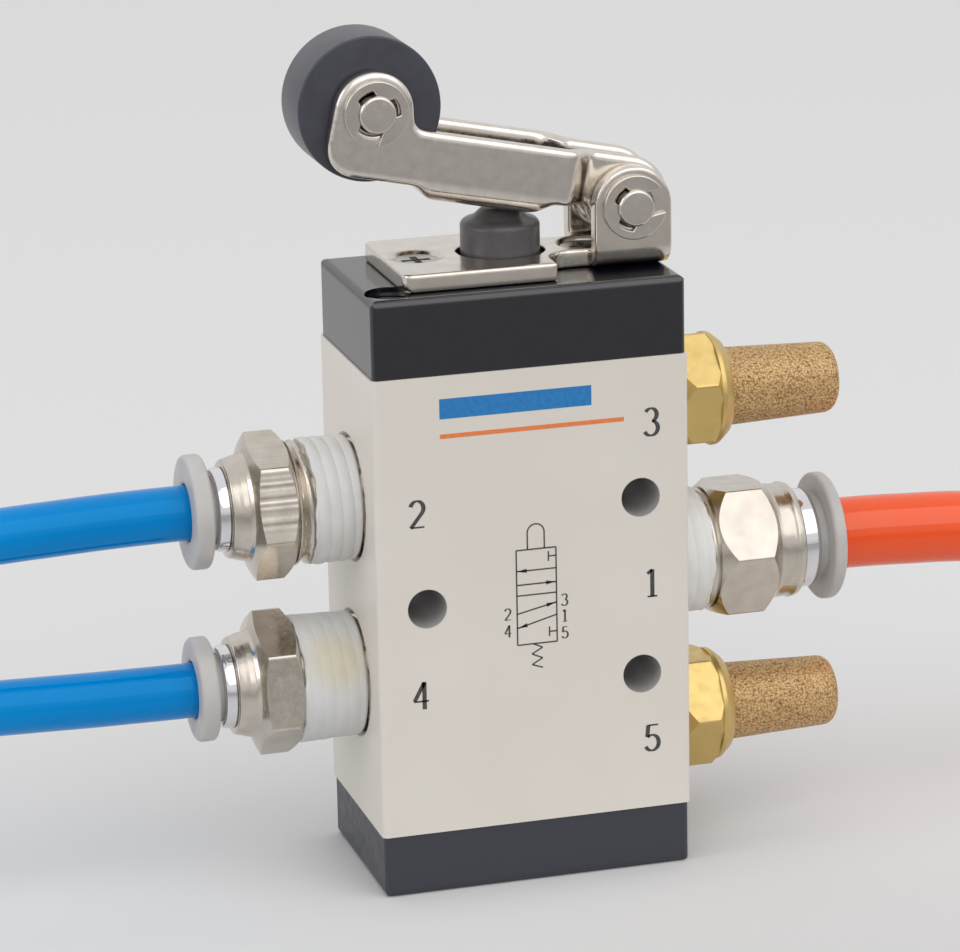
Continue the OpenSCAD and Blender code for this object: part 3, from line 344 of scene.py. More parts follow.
air_tube("upper", UPPER_BEND, LEFT, 0.006, 0.001, BLUE, "blue_tube")
air_tube("lower", LOWER_BEND, LEFT, 0.006, 0.001, BLUE, "blue_tube")
air_tube("supply", SUPPLY_BEND, RIGHT, 0.008, 0.00125, ORANGE, "orange_tube")

# %% [markdown]
# ## Floor and light
# The photograph has the even light of a white tent: a pale floor that runs on to the background, a large
# soft light high in front and a small one on the left. The floor's colour holds painted shade that darkens
# it towards the camera, deepest in front of the valve, so upright metal mirrors grey.

# %% Floor
FLOOR_HALF = 3.0
PAPER_FRONT, PAPER_BACK = -0.30, 0.90
# The grey tone is painted shade in front of the valve, and the near and far tones are a gentler painted
# fall-off.
PALE_PAPER, PAINTED_SHADE_GREY = (0.76, 0.76, 0.755), (0.34, 0.335, 0.33)
NEAR_PAPER, FAR_PAPER = (0.695, 0.695, 0.70), (0.715, 0.715, 0.715)
floor_mesh = bpy.data.meshes.new("studio_floor")
corners = np.array([[-1, -1, 0], [1, -1, 0], [1, 1, 0], [-1, 1, 0]]) * FLOOR_HALF
floor_mesh.from_pydata(corners, [], [(0, 1, 2, 3)])
floor = in_scene("studio_floor", floor_mesh)


def share_along(tree, source, axis, low, high):
    """Share from 0 to 1 of the way from low to high along one axis of a coordinate."""
    place = tree.nodes.new("ShaderNodeTexCoord")
    split = tree.nodes.new("ShaderNodeSeparateXYZ")
    span = tree.nodes.new("ShaderNodeMapRange")
    span.inputs["From Min"].default_value = low
    span.inputs["From Max"].default_value = high
    tree.links.new(place.outputs[source], split.inputs["Vector"])
    tree.links.new(split.outputs[axis], span.inputs["Value"])
    return span.outputs["Result"]


floor_paper_and_shade = finish("floor_paper_and_shade", PALE_PAPER, roughness=0.7, specular_ior_level=0.2)
paper_share = share_along(floor_paper_and_shade.node_tree, "Object", "Y", PAPER_FRONT, PAPER_BACK)
# Painted shade: the floor's colour darkens from the back towards the camera.
tint(floor_paper_and_shade, paper_share, [(0.11, PAINTED_SHADE_GREY), (0.235, NEAR_PAPER), (0.5, FAR_PAPER),
                                (1.0, PALE_PAPER)])
relief(floor_paper_and_shade, 2.0, 0.02, 0.2)
floor_mesh.materials.append(floor_paper_and_shade)
print("floor edge in m:", 2 * FLOOR_HALF)

# %% World and lamps
VALVE_MIDDLE = Vector((0, 0, 0.045))


def soft_box(name, place, size, watts):
    """Rectangular area lamp that points at the middle of the valve."""
    data = bpy.data.lights.new(name, "AREA")
    data.shape = "RECTANGLE"
    data.size, data.size_y = size
    data.energy = watts
    in_scene(name, data, place, (VALVE_MIDDLE - Vector(place)).to_track_quat("-Z", "Y"))


def tent(stops):
    """World light that depends on how high the direction points, through stops (height, grey)."""
    world = bpy.data.worlds.new("white_tent")
    bpy.context.scene.world = world
    world.use_nodes = True
    low, high = stops[0][0], stops[-1][0]
    share = share_along(world.node_tree, "Generated", "Z", low, high)
    grey = ramp(world, share, [((height - low) / (high - low), value) for height, value in stops])
    world.node_tree.links.new(grey, world.node_tree.nodes["Background"].inputs["Color"])


tent([(-0.3, 0.36), (-0.05, 0.52), (0.17, 0.80), (0.5, 0.84), (1.0, 0.85)])
soft_box("key_soft_box", (0.22, -0.62, 0.78), (1.5, 1.0), 3.9)
soft_box("left_soft_box", (-0.80, -0.15, 0.45), (0.40, 0.50), 1.15)
bpy.context.scene.view_settings.view_transform = "Standard"

# %% [markdown]
# ## Paint, caps and rubber
# The block is stove-enamelled metal: an even ivory with a very fine orange-peel skin. The caps are dark
# anodised metal, the upper one polished and the lower one satin. Their CAD solids already have the right
# shape, so each only gets a finish on its material slots. The mounting holes are drilled after painting, so
# a rod-shaped mask round each hole's axis turns the paint to bare metal there.

# %% Finishes for the carried-over solids


def dress(material, *nodes):
    """Gives carried-over CAD nodes their finish."""
    for node in nodes:
        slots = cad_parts[node].data.materials
        slots.clear()
        slots.append(material)


def spot(material, centre_mm, radius_mm, axes=(1, 1, 1)):
    """Soft round spot: 1 at its centre, falling to 0 at its radius. An axis set to 0 makes it a rod."""
    scale = [a / (radius_mm * MM) for a in axes]
    shift = [-a * c / radius_mm for a, c in zip(axes, centre_mm)]
    ball = placed(material, "TexGradient", scale, shift)
    ball.gradient_type = "SPHERICAL"
    return ball.outputs["Fac"]


def bare_bore(material, x, z, radius_mm, colour):
    """Lays the colour of bare metal over the base colour inside a hole from front to back."""
    nodes, links = material.node_tree.nodes, material.node_tree.links
    base = nodes["Principled BSDF"].inputs["Base Color"]
    inside = ramp(material, spot(material, (x, 0, z), radius_mm, (1, 0, 1)), [(0.0, 0.0), (0.01, 1.0)])
    blend = nodes.new("ShaderNodeMixRGB")
    blend.inputs["Color2"].default_value = (*colour, 1)
    links.new(inside, blend.inputs["Fac"])
    links.new(base.links[0].from_socket, blend.inputs["Color1"])
    links.new(blend.outputs["Color"], base)


IVORY = mottled("ivory_paint", (0.700, 0.654, 0.585), (0.730, 0.686, 0.625), 0.42, 14, 2.0,
                coat_weight=0.15, coat_roughness=0.3)
relief(IVORY, 0.45, 0.012, 0.35, detail=2.0)
BARE_METAL = (0.45, 0.435, 0.43)
HOLE_X, HOLE_R, CHIPPED = 12.0, 2.15, 0.05
for side, fitting in [(RIGHT, "upper_fitting"), (LEFT, "supply_fitting"), (RIGHT, "lower_fitting")]:
    bare_bore(IVORY, side * HOLE_X, port_height(fitting) / MM, HOLE_R + CHIPPED, BARE_METAL)
GLOSS_BLACK = finish("black_gloss", (0.003, 0.003, 0.008), roughness=0.12, ior=1.75)
dull(GLOSS_BLACK, 1.6, 0.09, 0.17)
relief(GLOSS_BLACK, 0.5, 0.003, 0.25, detail=2.0)
SLATE = finish("slate_satin", (0.034, 0.037, 0.048), roughness=0.38)
dull(SLATE, 1.2, 0.32, 0.44)
relief(SLATE, 0.4, 0.006, 0.4, detail=2.0)
RUBBER = finish("seal_rubber", (0.03, 0.03, 0.03), roughness=0.6)
tint(RUBBER, noise(RUBBER, 0.8), [(0.35, 0.022), (0.65, 0.04)])
dress(IVORY, "valve_body")
dress(GLOSS_BLACK, "top_cap")
dress(SLATE, "bottom_cap")
dress(RUBBER, "end_seals", "spool_seals", "plunger_seal")
dress(RUBBER, "upper_fitting_seal", "lower_fitting_seal", "supply_fitting_seal")
print("painted:", IVORY.name, GLOSS_BLACK.name, SLATE.name)

# %% [markdown]
# ## Metals
# Plated sheet is bright but never a perfect mirror: rolling leaves a fine grain and handling leaves small
# scratches. Each metal is a Principled shader at full metallic, with grain on its roughness and a shallow
# relief.

# %% Metal finishes


def metal(name, colour, shade, rough, grain_mm, depth_mm=0.004):
    """Metal between two tones, with grain on its roughness and a shallow relief."""
    material = finish(name, colour, metallic=1.0, roughness=rough)
    tint(material, noise(material, 4 * grain_mm, 4.0), [(0.3, shade), (0.7, colour)])
    dull(material, grain_mm, 0.7 * rough, 1.4 * rough)
    relief(material, grain_mm / 2, depth_mm, 0.4)
    return material


NICKEL = metal("nickel_sheet", (0.74, 0.69, 0.625), (0.67, 0.615, 0.55), 0.18, 0.5, 0.003)
TUMBLED_NICKEL = metal("tumbled_nickel", (0.76, 0.71, 0.655), (0.66, 0.615, 0.56), 0.16, 0.3, 0.005)
PIN_STEEL = metal("pin_steel", (0.70, 0.655, 0.60), (0.62, 0.575, 0.525), 0.2, 0.8, 0.002)
SCREW_STEEL = metal("screw_steel", (0.55, 0.54, 0.51), (0.46, 0.45, 0.42), 0.3, 0.4)
SPRING_STEEL = metal("spring_steel", (0.58, 0.57, 0.55), (0.48, 0.47, 0.45), 0.3, 0.3)
SPOOL_ALLOY = metal("spool_alloy", (0.72, 0.73, 0.75), (0.66, 0.67, 0.69), 0.25, 0.3)
BUSH_BRONZE = metal("bush_bronze", (0.62, 0.48, 0.28), (0.55, 0.42, 0.24), 0.3, 0.3)
PLATED_BRASS = metal("plated_brass", (0.66, 0.61, 0.545), (0.56, 0.505, 0.435), 0.2, 0.5, 0.002)
CHROME = metal("bright_chrome", (0.80, 0.80, 0.82), (0.74, 0.74, 0.76), 0.07, 0.5, 0.001)
YELLOW_BRASS = metal("yellow_brass", (0.70, 0.515, 0.20), (0.65, 0.475, 0.18), 0.34, 1.2, 0.002)
dress(SCREW_STEEL, "cap_screws", "bracket_screws")
dress(SPOOL_ALLOY, "spool")
dress(BUSH_BRONZE, "plunger_bush")
dress(SPRING_STEEL, "return_spring")
dress(SPRING_STEEL, "upper_fitting_collet", "lower_fitting_collet", "supply_fitting_collet")
print("metals, from sheet to nuts:", NICKEL.name, PLATED_BRASS.name, YELLOW_BRASS.name)

# %% [markdown]
# ## Rolled sheet edges
# Lever and bracket are pressed from 2 mm sheet, then tumbled and plated, so every edge is rolled over and
# catches the light. A Bevel modifier stops at the shortest edge of the outline, which is too narrow here.
# Instead, a copy of the CAD mesh is cut into small even quads by a voxel remesh, and each point then moves
# again and again towards the mean of its neighbours. Flat faces stay flat, and the edges become round. More
# passes make rounder edges, so the lever gets more than its bracket.

# %% Rolled copies
CELL, LEVER_PASSES, BRACKET_PASSES = 0.16, 64, 12


def merged_copy(name, node, flat=None):
    """New mesh of a CAD node with its loose triangles joined."""
    return joined(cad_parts[node].data, bpy.data.meshes.new(name), flat)


def even_quads(name, node):
    """Voxel remesh of a merged copy, as a new mesh."""
    carrier = in_scene(name, merged_copy(name, node))
    cells = carrier.modifiers.new("even cells", "REMESH")
    cells.mode = "VOXEL"
    cells.voxel_size = CELL * MM
    bare = carrier.data
    graph = bpy.context.evaluated_depsgraph_get()
    mesh = bpy.data.meshes.new_from_object(carrier.evaluated_get(graph))
    bpy.data.objects.remove(carrier)
    bpy.data.meshes.remove(bare)
    mesh.name = name
    return mesh


def rolled(points, edges, passes):
    """Moves each point half way to the mean of its neighbours, as often as passes says."""
    ends = np.concatenate([edges, edges[:, ::-1]])
    neighbours = np.bincount(ends[:, 0], minlength=len(points))
    for _ in range(passes):
        sums = [np.bincount(ends[:, 0], points[ends[:, 1], k], len(points)) for k in range(3)]
        points = (points + np.stack(sums, axis=1) / neighbours[:, None]) / 2
    return points


def rolled_sheet(name, node, body, material, passes):
    """Copy of a CAD node with rolled edges, which stands for the node."""
    mesh = even_quads(name, node)
    points, edges = np.empty(3 * len(mesh.vertices)), np.empty(2 * len(mesh.edges), int)
    mesh.vertices.foreach_get("co", points)
    mesh.edges.foreach_get("vertices", edges)
    points = rolled(points.reshape(-1, 3), edges.reshape(-1, 2), passes)
    mesh.vertices.foreach_set("co", points.ravel())
    mesh.update()
    shown(name, mesh, material, body, node)
    print(name, "quads:", len(mesh.polygons))


rolled_sheet("lever_sheet", "lever", "lever", TUMBLED_NICKEL, LEVER_PASSES)
rolled_sheet("bracket_sheet", "lever_bracket", "housing", NICKEL, BRACKET_PASSES)

# %% [markdown]
# The retaining rings are stamped from thin spring steel. Their outline has no short edges, so a copy of the
# CAD mesh with its flat faces joined and a narrow Bevel modifier is enough.

# %% Retaining rings
FLAT, RING_EASE = math.radians(0.4), 0.12


def eased_rings(name, node, body):
    """Copy of a CAD node with joined flat faces and bevelled edges, which stands for the node."""
    mesh = merged_copy(name, node, FLAT)
    piece = shown(name, mesh, PIN_STEEL, body, node)
    bevel = piece.modifiers.new("eased edges", "BEVEL")
    bevel.width = RING_EASE * MM
    bevel.segments = 3
    bevel.angle_limit = SHARP
    print(name, "faces before easing:", len(mesh.polygons))


eased_rings("pivot_ring_pair", "pivot_rings", "housing")
eased_rings("roller_ring_pair", "roller_rings", "lever")

# %% [markdown]
# ## Turned pieces
# Pins, roller and plunger are made on a lathe, so each is a half outline carried round an axis. The outline
# has only its corners, and a radius at each corner becomes an arc.

# %% Lathe helpers


def eased_outline(corners, arc_steps=6):
    """Outline through corners (along, radius, rounding), where each rounded corner becomes an arc."""
    table, points = np.array(corners, float), []
    place, rounding = table[:, :2], table[:, 2]
    for k, corner in enumerate(place):
        if rounding[k] == 0:
            points.append(corner[None])
            continue
        back, ahead = unit(place[k - 1] - corner), unit(place[(k + 1) % len(place)] - corner)
        half = math.acos(np.clip(back @ ahead, -1, 1)) / 2
        middle = corner + unit(back + ahead) * rounding[k] / math.sin(half)
        first = corner + back * rounding[k] / math.tan(half) - middle
        last = corner + ahead * rounding[k] / math.tan(half) - middle
        t = np.linspace(0, 1, arc_steps)[:, None]
        points.append(middle + unit((1 - t) * first + t * last) * rounding[k])
    return np.concatenate(points)


def lathe(outline, centre, axis, around=96):
    """Carries the outline (along, radius) round an axis through the centre; all in mm."""
    axis = np.asarray(axis, float)
    first = unit(np.cross(axis, [0.0, 0.0, 1.0] if abs(axis[2]) < 0.9 else [1.0, 0.0, 0.0]))
    second = np.cross(axis, first)
    angle = np.linspace(0, 2 * math.pi, around, endpoint=False)
    spoke = np.cos(angle)[:, None] * first + np.sin(angle)[:, None] * second
    along, radius = outline.T
    return np.asarray(centre) + along[:, None, None] * axis + radius[:, None, None] * spoke


def middle_mm(node):
    """Middle of a CAD node's box, in mm."""
    low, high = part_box(node)
    return np.array((low + high) / 2) / MM


def size_mm(node):
    """Edges of a CAD node's box, in mm."""
    low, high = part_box(node)
    return np.array(high - low) / MM


print("roller in mm:", size_mm("roller").round(2), "plunger in mm:", size_mm("plunger").round(2))

# %% Roller, pins and plunger
ROLLER_PLASTIC = mottled("black_plastic", (0.046, 0.047, 0.061), (0.058, 0.059, 0.077), 0.36, 1.5, 5.0)
relief(ROLLER_PLASTIC, 0.35, 0.006, 0.5)
PLUNGER_PLASTIC = mottled("grey_plastic", (0.080, 0.074, 0.078), (0.100, 0.092, 0.098), 0.3, 1.2, 4.0)
relief(PLUNGER_PLASTIC, 0.3, 0.005, 0.4)
ACROSS, UPWARDS = (0, 1, 0), (0, 0, 1)
PIN_R, PIN_PLAY, PIN_END = 2.0, 0.05, 0.35
WAIST_R, WAIST_L, WAIST_IN = 1.6, 0.66, 1.17


def turned_pin(name, node, body):
    """Headless pin with rounded ends and a waist at each retaining ring."""
    half = size_mm(node)[1] / 2
    near = half - WAIST_IN
    far = near + WAIST_L
    side = [(half, 0, 0), (half, PIN_R, PIN_END), (far, PIN_R, 0), (far, WAIST_R, 0), (near, WAIST_R, 0),
            (near, PIN_R, 0)]
    corners = side + [(-along, radius, rounding) for along, radius, rounding in side[::-1]]
    grid = lathe(eased_outline(corners), middle_mm(node), ACROSS)
    piece_from_parts(name, [(grid, False)], PIN_STEEL, body, "pin_steel", node)


turned_pin("turned_pivot_pin", "pivot_pin", "housing")
turned_pin("turned_roller_pin", "roller_pin", "lever")
BORE_R, BORE_EASE = PIN_R + PIN_PLAY, 0.2
ROLLER_R, ROLLER_HALF, ROLLER_EASE = size_mm("roller")[0] / 2, size_mm("roller")[1] / 2, 0.22
roller_outline = eased_outline([
    (-ROLLER_HALF, BORE_R, BORE_EASE), (-ROLLER_HALF, ROLLER_R, ROLLER_EASE),
    (ROLLER_HALF, ROLLER_R, ROLLER_EASE), (ROLLER_HALF, BORE_R, BORE_EASE)])
roller_grid = lathe(roller_outline, middle_mm("roller"), ACROSS, 144)
piece_from_parts("cam_roller", [(roller_grid, True)], ROLLER_PLASTIC, "roller", "black_plastic", "roller")
PLUNGER_LOW, PLUNGER_TOP = (corner.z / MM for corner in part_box("plunger"))
FLANGE_R, FLANGE_TOP, STEM_R = size_mm("plunger")[0] / 2, PLUNGER_LOW + 1.8, 4.3
SHOULDER, NECK, CROWN = PLUNGER_TOP - 1.6, PLUNGER_TOP - 1.15, PLUNGER_TOP - 0.2
NECK_R, CROWN_R = 3.0, 2.0
plunger_outline = eased_outline([
    (PLUNGER_LOW, 0, 0), (PLUNGER_LOW, FLANGE_R, 0.2), (FLANGE_TOP, FLANGE_R, 0.2), (FLANGE_TOP, STEM_R, 0),
    (SHOULDER, STEM_R, 0.75), (NECK, NECK_R, 0.4), (CROWN, CROWN_R, 1.0), (PLUNGER_TOP, 0, 0)])
plunger_grid = lathe(plunger_outline, (0, 0, 0), UPWARDS)
piece_from_parts("push_plunger", [(plunger_grid, False)], PLUNGER_PLASTIC, "spool", "grey_plastic",
                 "plunger")
print("roller diameter in mm:", round(2 * ROLLER_R, 2), "plunger top in mm:", round(PLUNGER_TOP, 2))

# %% [markdown]
# ## Push-in fittings
# A fitting is turned from hexagon bar: a taper pipe thread, the hexagon with its ends turned to a cone, and
# a round barrel. In the CAD model the thread is a plain cone. Here the whole body is one grid of rings
# round the port's axis, where the radius also depends on the angle: a helical ridge on the thread, and the
# flats on the hexagon. The ring that ends each cone bends with the flats, so the curved edge of every flat
# stays crisp.

# %% Rings round a port's axis
THREAD_PITCH, THREAD_DEPTH, THREAD_R = 1.337, 0.62, 6.57
TAPER = 1 / 32
AROUND = 360
CORNERS_OFF = 0.994
WORN_SIDE = math.radians(310)
ANGLE = np.linspace(0, 2 * math.pi, AROUND, endpoint=False)
BODY_HALF = FACE_X / MM


def at_port(side, height, along, radius, angle=ANGLE):
    """Points at a distance along a port's axis, outwards from the face, and at a radius for each angle."""
    along, radius = np.broadcast_arrays(along, radius)
    x = side * (BODY_HALF + along)
    z = height - side * radius * np.cos(angle)
    return np.stack([x, radius * np.sin(angle), z], axis=-1)


def hexagon(flats, turn_deg):
    """Radius of a hexagon at each angle, with its corners turned off a little."""
    sixth = math.pi / 3
    off = np.mod(ANGLE - math.radians(turn_deg), sixth) - sixth / 2
    corner = flats / 2 / math.cos(sixth / 2)
    return np.minimum(flats / 2 / np.cos(off), CORNERS_OFF * corner)


def drawn_marks(depth, seed):
    """Uneven marks that a worn drawing die leaves along one side of the bar: cosines with chance phases."""
    chance = np.random.default_rng(seed)
    turns, phase = chance.integers(20, 100, (12, 1)), chance.uniform(0, 2 * math.pi, (12, 1))
    worn = np.clip(1.5 * np.cos(ANGLE - WORN_SIDE) - 0.2, 0, 1)
    return depth * worn * np.clip(np.cos(turns * ANGLE + phase).sum(axis=0) / 4, -1, 1)


def hexagon_rings(start, end, radius, tips, leads):
    """Rings of a hexagon: a cone up to the curved edge of the flats, the flats, and a cone down again.
    A tip is the radius where a cone ends. A lead is how far it runs along the axis per mm of radius."""
    t = np.linspace(0, 1, 5)[:, None]
    rise = np.maximum(radius - tips[0], 0) * leads[0]
    fall = np.maximum(radius - tips[1], 0) * leads[1]
    up = (start + t * rise, tips[0] + t * (radius - tips[0]))
    flat_t = np.linspace(0, 1, 4)[1:-1, None]
    flat = (start + rise + flat_t * (end - start - rise - fall), radius + 0 * flat_t)
    down = (end - t[::-1] * fall, tips[1] + t[::-1] * (radius - tips[1]))
    return [up, flat, down]


def thread_rings(start, end):
    """Helical ridge on a taper: a rounded wave of the distance minus the angle's share of the pitch."""
    along = np.arange(start, end, THREAD_PITCH / 14)[:, None]
    phase = along / THREAD_PITCH - ANGLE / (2 * math.pi)
    wave = np.abs(np.mod(phase, 1) * 2 - 1)
    fade = np.clip((end - along) / 0.5, 0, 1)
    groove = THREAD_DEPTH * np.clip(1.15 * wave - 0.1, 0, 1) ** 1.3
    return [(along, THREAD_R + TAPER * along - groove * fade)]


def plain_rings(points):
    """Round rings at the outline's points (along, radius)."""
    along, radius = np.asarray(points, float).T
    return [(along[:, None], radius[:, None] + 0 * ANGLE)]


def ring_piece(name, side, height, rings, material, slot, node, body="housing"):
    """Stacks rings along a port's axis into one closed piece."""
    grid = np.concatenate([at_port(side, height, along, radius) for along, radius in rings])
    return piece_from_parts(name, [(grid, True)], material, body, slot, node)


print("points round each ring:", AROUND)

# %% [markdown]
# The three fittings share one shape and differ in a few sizes, all in millimetres from the port's face. The
# two leads say how steep the hexagon's cones are, and marks is the depth of the lines left by drawing the
# bar. The sealant leaves a bare stretch of thread, and ridge is how far the thread's turns show through it.

# %% Fitting bodies
Fitting = namedtuple("Fitting", "name body side tube_r thread hexagon barrel swell guide flange top turn "
                                "leads marks bare ridge")
OUTLET = dict(side=LEFT, tube_r=3.0, thread=7.2, hexagon=4.3, barrel=2.5, swell=0.35, guide=1.3, flange=2.0,
              top=18.1, leads=(0.7, 0.4))
SUPPLY = dict(side=RIGHT, tube_r=4.0, thread=5.2, hexagon=7.0, barrel=3.2, swell=0.0, guide=2.0, flange=1.5,
              top=19.9, leads=(1.4, 1.0))
FITTINGS = [Fitting("upper_fitting", "upper_collar", turn=14, marks=0.02, bare=1.9, ridge=0.17, **OUTLET),
            Fitting("lower_fitting", "lower_collar", turn=7, marks=0.0, bare=0.0, ridge=0.06, **OUTLET),
            Fitting("supply_fitting", "supply_collar", turn=26, marks=0.0, bare=0.7, ridge=0.08, **SUPPLY)]
FLATS, TIP_R, THREAD_TIP_R, RUN_OUT = 14.0, 6.7, 6.92, 0.25
INSIDE, SEAT, STOP = -4.5, -0.6, TUBE_STOP / MM
TUBE_PLAY, AIR_STEP, COLLET_GAP, COLLET_L, BARREL_WALL = 0.12, 0.9, 1.43, 5.6, 2.4


def mouth_of(f):
    """Distance from the port's face to the end of the barrel."""
    return f.thread + f.hexagon + f.barrel


def barrel_outline(f):
    """Cone off the hexagon, hollow flare, slight waist and rounded mouth, then the bore back inside."""
    end, mouth, pocket = f.thread + f.hexagon, mouth_of(f), mouth_of(f) - COLLET_L
    wide, collet_r, bore_r = f.tube_r + BARREL_WALL, f.tube_r + COLLET_GAP, f.tube_r + TUBE_PLAY
    air_r = bore_r - AIR_STEP
    root = wide + f.swell
    foot = root + 0.35 * (TIP_R - root)
    flare = end + f.leads[1] * (TIP_R - foot)
    return eased_outline([
        (end, TIP_R, 0), (flare, foot, 0.08), (flare + 0.4, root, 0.4), (mouth - 1.25, root - 0.12, 0.6),
        (mouth - 0.85, wide + 0.1, 0.4), (mouth, wide - 0.12, 0.35), (mouth, collet_r, 0.1),
        (pocket, collet_r, 0), (pocket, bore_r, 0), (STOP, bore_r, 0), (STOP, air_r, 0),
        (INSIDE, air_r, 0)])


def fitting_piece(f, name, part, rings, material, slot, body="housing"):
    """Rings on a fitting's axis as one piece, which stands for one part of the CAD fitting."""
    height, node = port_height(f.name) / MM, f.name + part
    return ring_piece(name, f.side, height, rings, material, slot, node, body)


def fitting_body(f):
    """Thread, hexagon and barrel outside, then the bore."""
    root_r, neck_r = THREAD_R - THREAD_DEPTH, THREAD_R - RUN_OUT
    rings = plain_rings([(INSIDE, root_r), (SEAT, root_r)])
    rings += thread_rings(SEAT, f.thread - RUN_OUT)
    rings += plain_rings([(f.thread - 0.8 * RUN_OUT, neck_r), (f.thread, neck_r)])
    bar = hexagon(FLATS, f.turn) + drawn_marks(f.marks, f.turn)
    rings += hexagon_rings(f.thread, f.thread + f.hexagon, bar, (THREAD_TIP_R, TIP_R), f.leads)
    rings += plain_rings(barrel_outline(f)[1:])
    piece = fitting_piece(f, "threaded_" + f.name, "_body", rings, PLATED_BRASS, "plated_brass")
    print(piece.name, "faces:", len(piece.data.polygons))


for f in FITTINGS:
    fitting_body(f)

# %% [markdown]
# ## Thread sealant, guide rings and release collars
# White sealant is brushed on the thread before assembly, so it follows the turns softly and ends in a
# ragged edge. On the lower fitting it has a cream stain. A chromed ring guides the release collar, a pale
# plastic flange that is pushed in to free the tube.

# %% Sealant


def chalky(name, grey):
    """Dull white with a fine relief."""
    material = finish(name, (grey, grey, grey), roughness=0.55, specular_ior_level=0.3)
    relief(material, 0.5, 0.02, 0.4, detail=4.0)
    return material


def uneven_white(name, grey):
    """Chalky white that turns a little warmer in places."""
    material = chalky(name, grey)
    warm = (0.93 * grey, 0.92 * grey, 0.89 * grey)
    tint(material, noise(material, 6, 2.0), [(0.40, grey), (0.62, warm)])
    return material


SEALANT = uneven_white("white_sealant", 0.69)
THICK_SEALANT = uneven_white("thick_sealant", 0.80)
STAINED = chalky("stained_sealant", 0.66)
STAIN_AT, STAIN_R = (-BODY_HALF - 3.2, -5.8, port_height("lower_fitting") / MM + 3.6), 4.4
tint(STAINED, spot(STAINED, STAIN_AT, STAIN_R), [(0.05, (0.66, 0.66, 0.65)), (0.6, (0.63, 0.585, 0.47))])


def sealant(f, material):
    """Soft turns over the thread: round crests with narrow valleys, and a ragged outer edge."""
    t = np.linspace(0, 1, 96)[:, None]
    ragged = 0.12 * np.sin(3 * ANGLE + 1) + 0.08 * np.sin(7 * ANGLE) + 0.05 * np.sin(17 * ANGLE + 2)
    first, last = 0.12, np.minimum(f.thread - f.bare - 0.1 + ragged, f.thread - 0.03)
    along = first + t * (last - first)
    crest = np.abs(np.sin(math.pi * (along / THREAD_PITCH - ANGLE / (2 * math.pi)))) ** 0.7
    uneven = 0.02 * np.sin(5 * ANGLE + 2 * along) + 0.015 * np.sin(11 * ANGLE - 3 * along)
    lip = np.clip(np.minimum(t, 1 - t) * 24, 0, 1) ** 0.5
    radius = THREAD_R + TAPER * along + 0.02 + (0.2 - f.ridge * (1 - crest) + uneven) * lip
    inside = (along[::-1][[0, -1]], THREAD_R - 0.5 + 0 * along[[0, -1]])
    fitting_piece(f, "brushed_" + f.name + "_sealant", "_sealant", [(along, radius), inside], material,
                  "white_sealant")


for f, material in zip(FITTINGS, [SEALANT, STAINED, THICK_SEALANT]):
    sealant(f, material)
print("sealant turns:", [round((f.thread - f.bare) / THREAD_PITCH, 1) for f in FITTINGS])

# %% Guide rings and collars
PALE_PLASTIC = mottled("pale_plastic", (0.475, 0.455, 0.44), (0.53, 0.51, 0.495), 0.45, 2.5, 4.0)
relief(PALE_PLASTIC, 0.3, 0.004, 0.4, detail=2.0)
GUIDE_GAP, GUIDE_WALL, GUIDE_LIP = 1.4, 0.7, 0.04
SLEEVE_WALL, SLEEVE_IN = 0.55, 1.4


def guide_ring(f):
    """Chromed ring with a rolled lip that stands out of the barrel."""
    outer, bore = f.tube_r + GUIDE_GAP, f.tube_r + GUIDE_GAP - GUIDE_WALL
    root, lip, top = mouth_of(f) - SLEEVE_IN, mouth_of(f) + GUIDE_LIP, mouth_of(f) + f.guide
    outline = eased_outline([
        (root, bore, 0), (root, outer - 0.02, 0), (lip, outer - 0.02, 0), (lip, outer + 0.2, 0.1),
        (top - 0.5, outer + 0.12, 0.2), (top, outer, 0.25), (top, bore, 0.15)])
    fitting_piece(f, "chromed_" + f.name + "_guide", "_guide", plain_rings(outline), CHROME,
                  "bright_chrome")


def release_collar(f):
    """Thin sleeve with a wide flange whose edges are moulded round."""
    inner, rim = f.tube_r + TUBE_PLAY, size_mm(f.name + "_collar")[1] / 2
    root, foot, outer = mouth_of(f) - SLEEVE_IN, f.top - f.flange, inner + SLEEVE_WALL
    outline = eased_outline([
        (root, inner, 0), (root, outer, 0.1), (foot, outer, 0.2), (foot, rim, 0.4), (f.top, rim, 0.5),
        (f.top, inner, 0.35)])
    fitting_piece(f, "release_" + f.name + "_collar", "_collar", plain_rings(outline), PALE_PLASTIC,
                  "pale_plastic", f.body)


for f in FITTINGS:
    guide_ring(f)
    release_collar(f)
    print(f.name, "mouth at", round(mouth_of(f), 2), "mm from the face")

# %% [markdown]
# ## Silencers
# A silencer is a brass nut with a thimble of sintered bronze: thousands of small balls fused together. A
# bump map would leave a smooth outline, so the balls are real relief. Space is cut into small cubes, each
# cube holds one ball at a chance place, and a point of the skin stands as high as the ball nearest to it.
# The same height is kept on the mesh, and the finish reads it to paint shade into the pits and a
# highlight on the tops of the balls.

# %% Porous elements
POROUS = finish("sintered_bronze", (0.60, 0.42, 0.20), metallic=0.35, roughness=0.45)
ball_shade_and_highlight = POROUS.node_tree.nodes.new("ShaderNodeAttribute")
ball_shade_and_highlight.attribute_name = "ball"
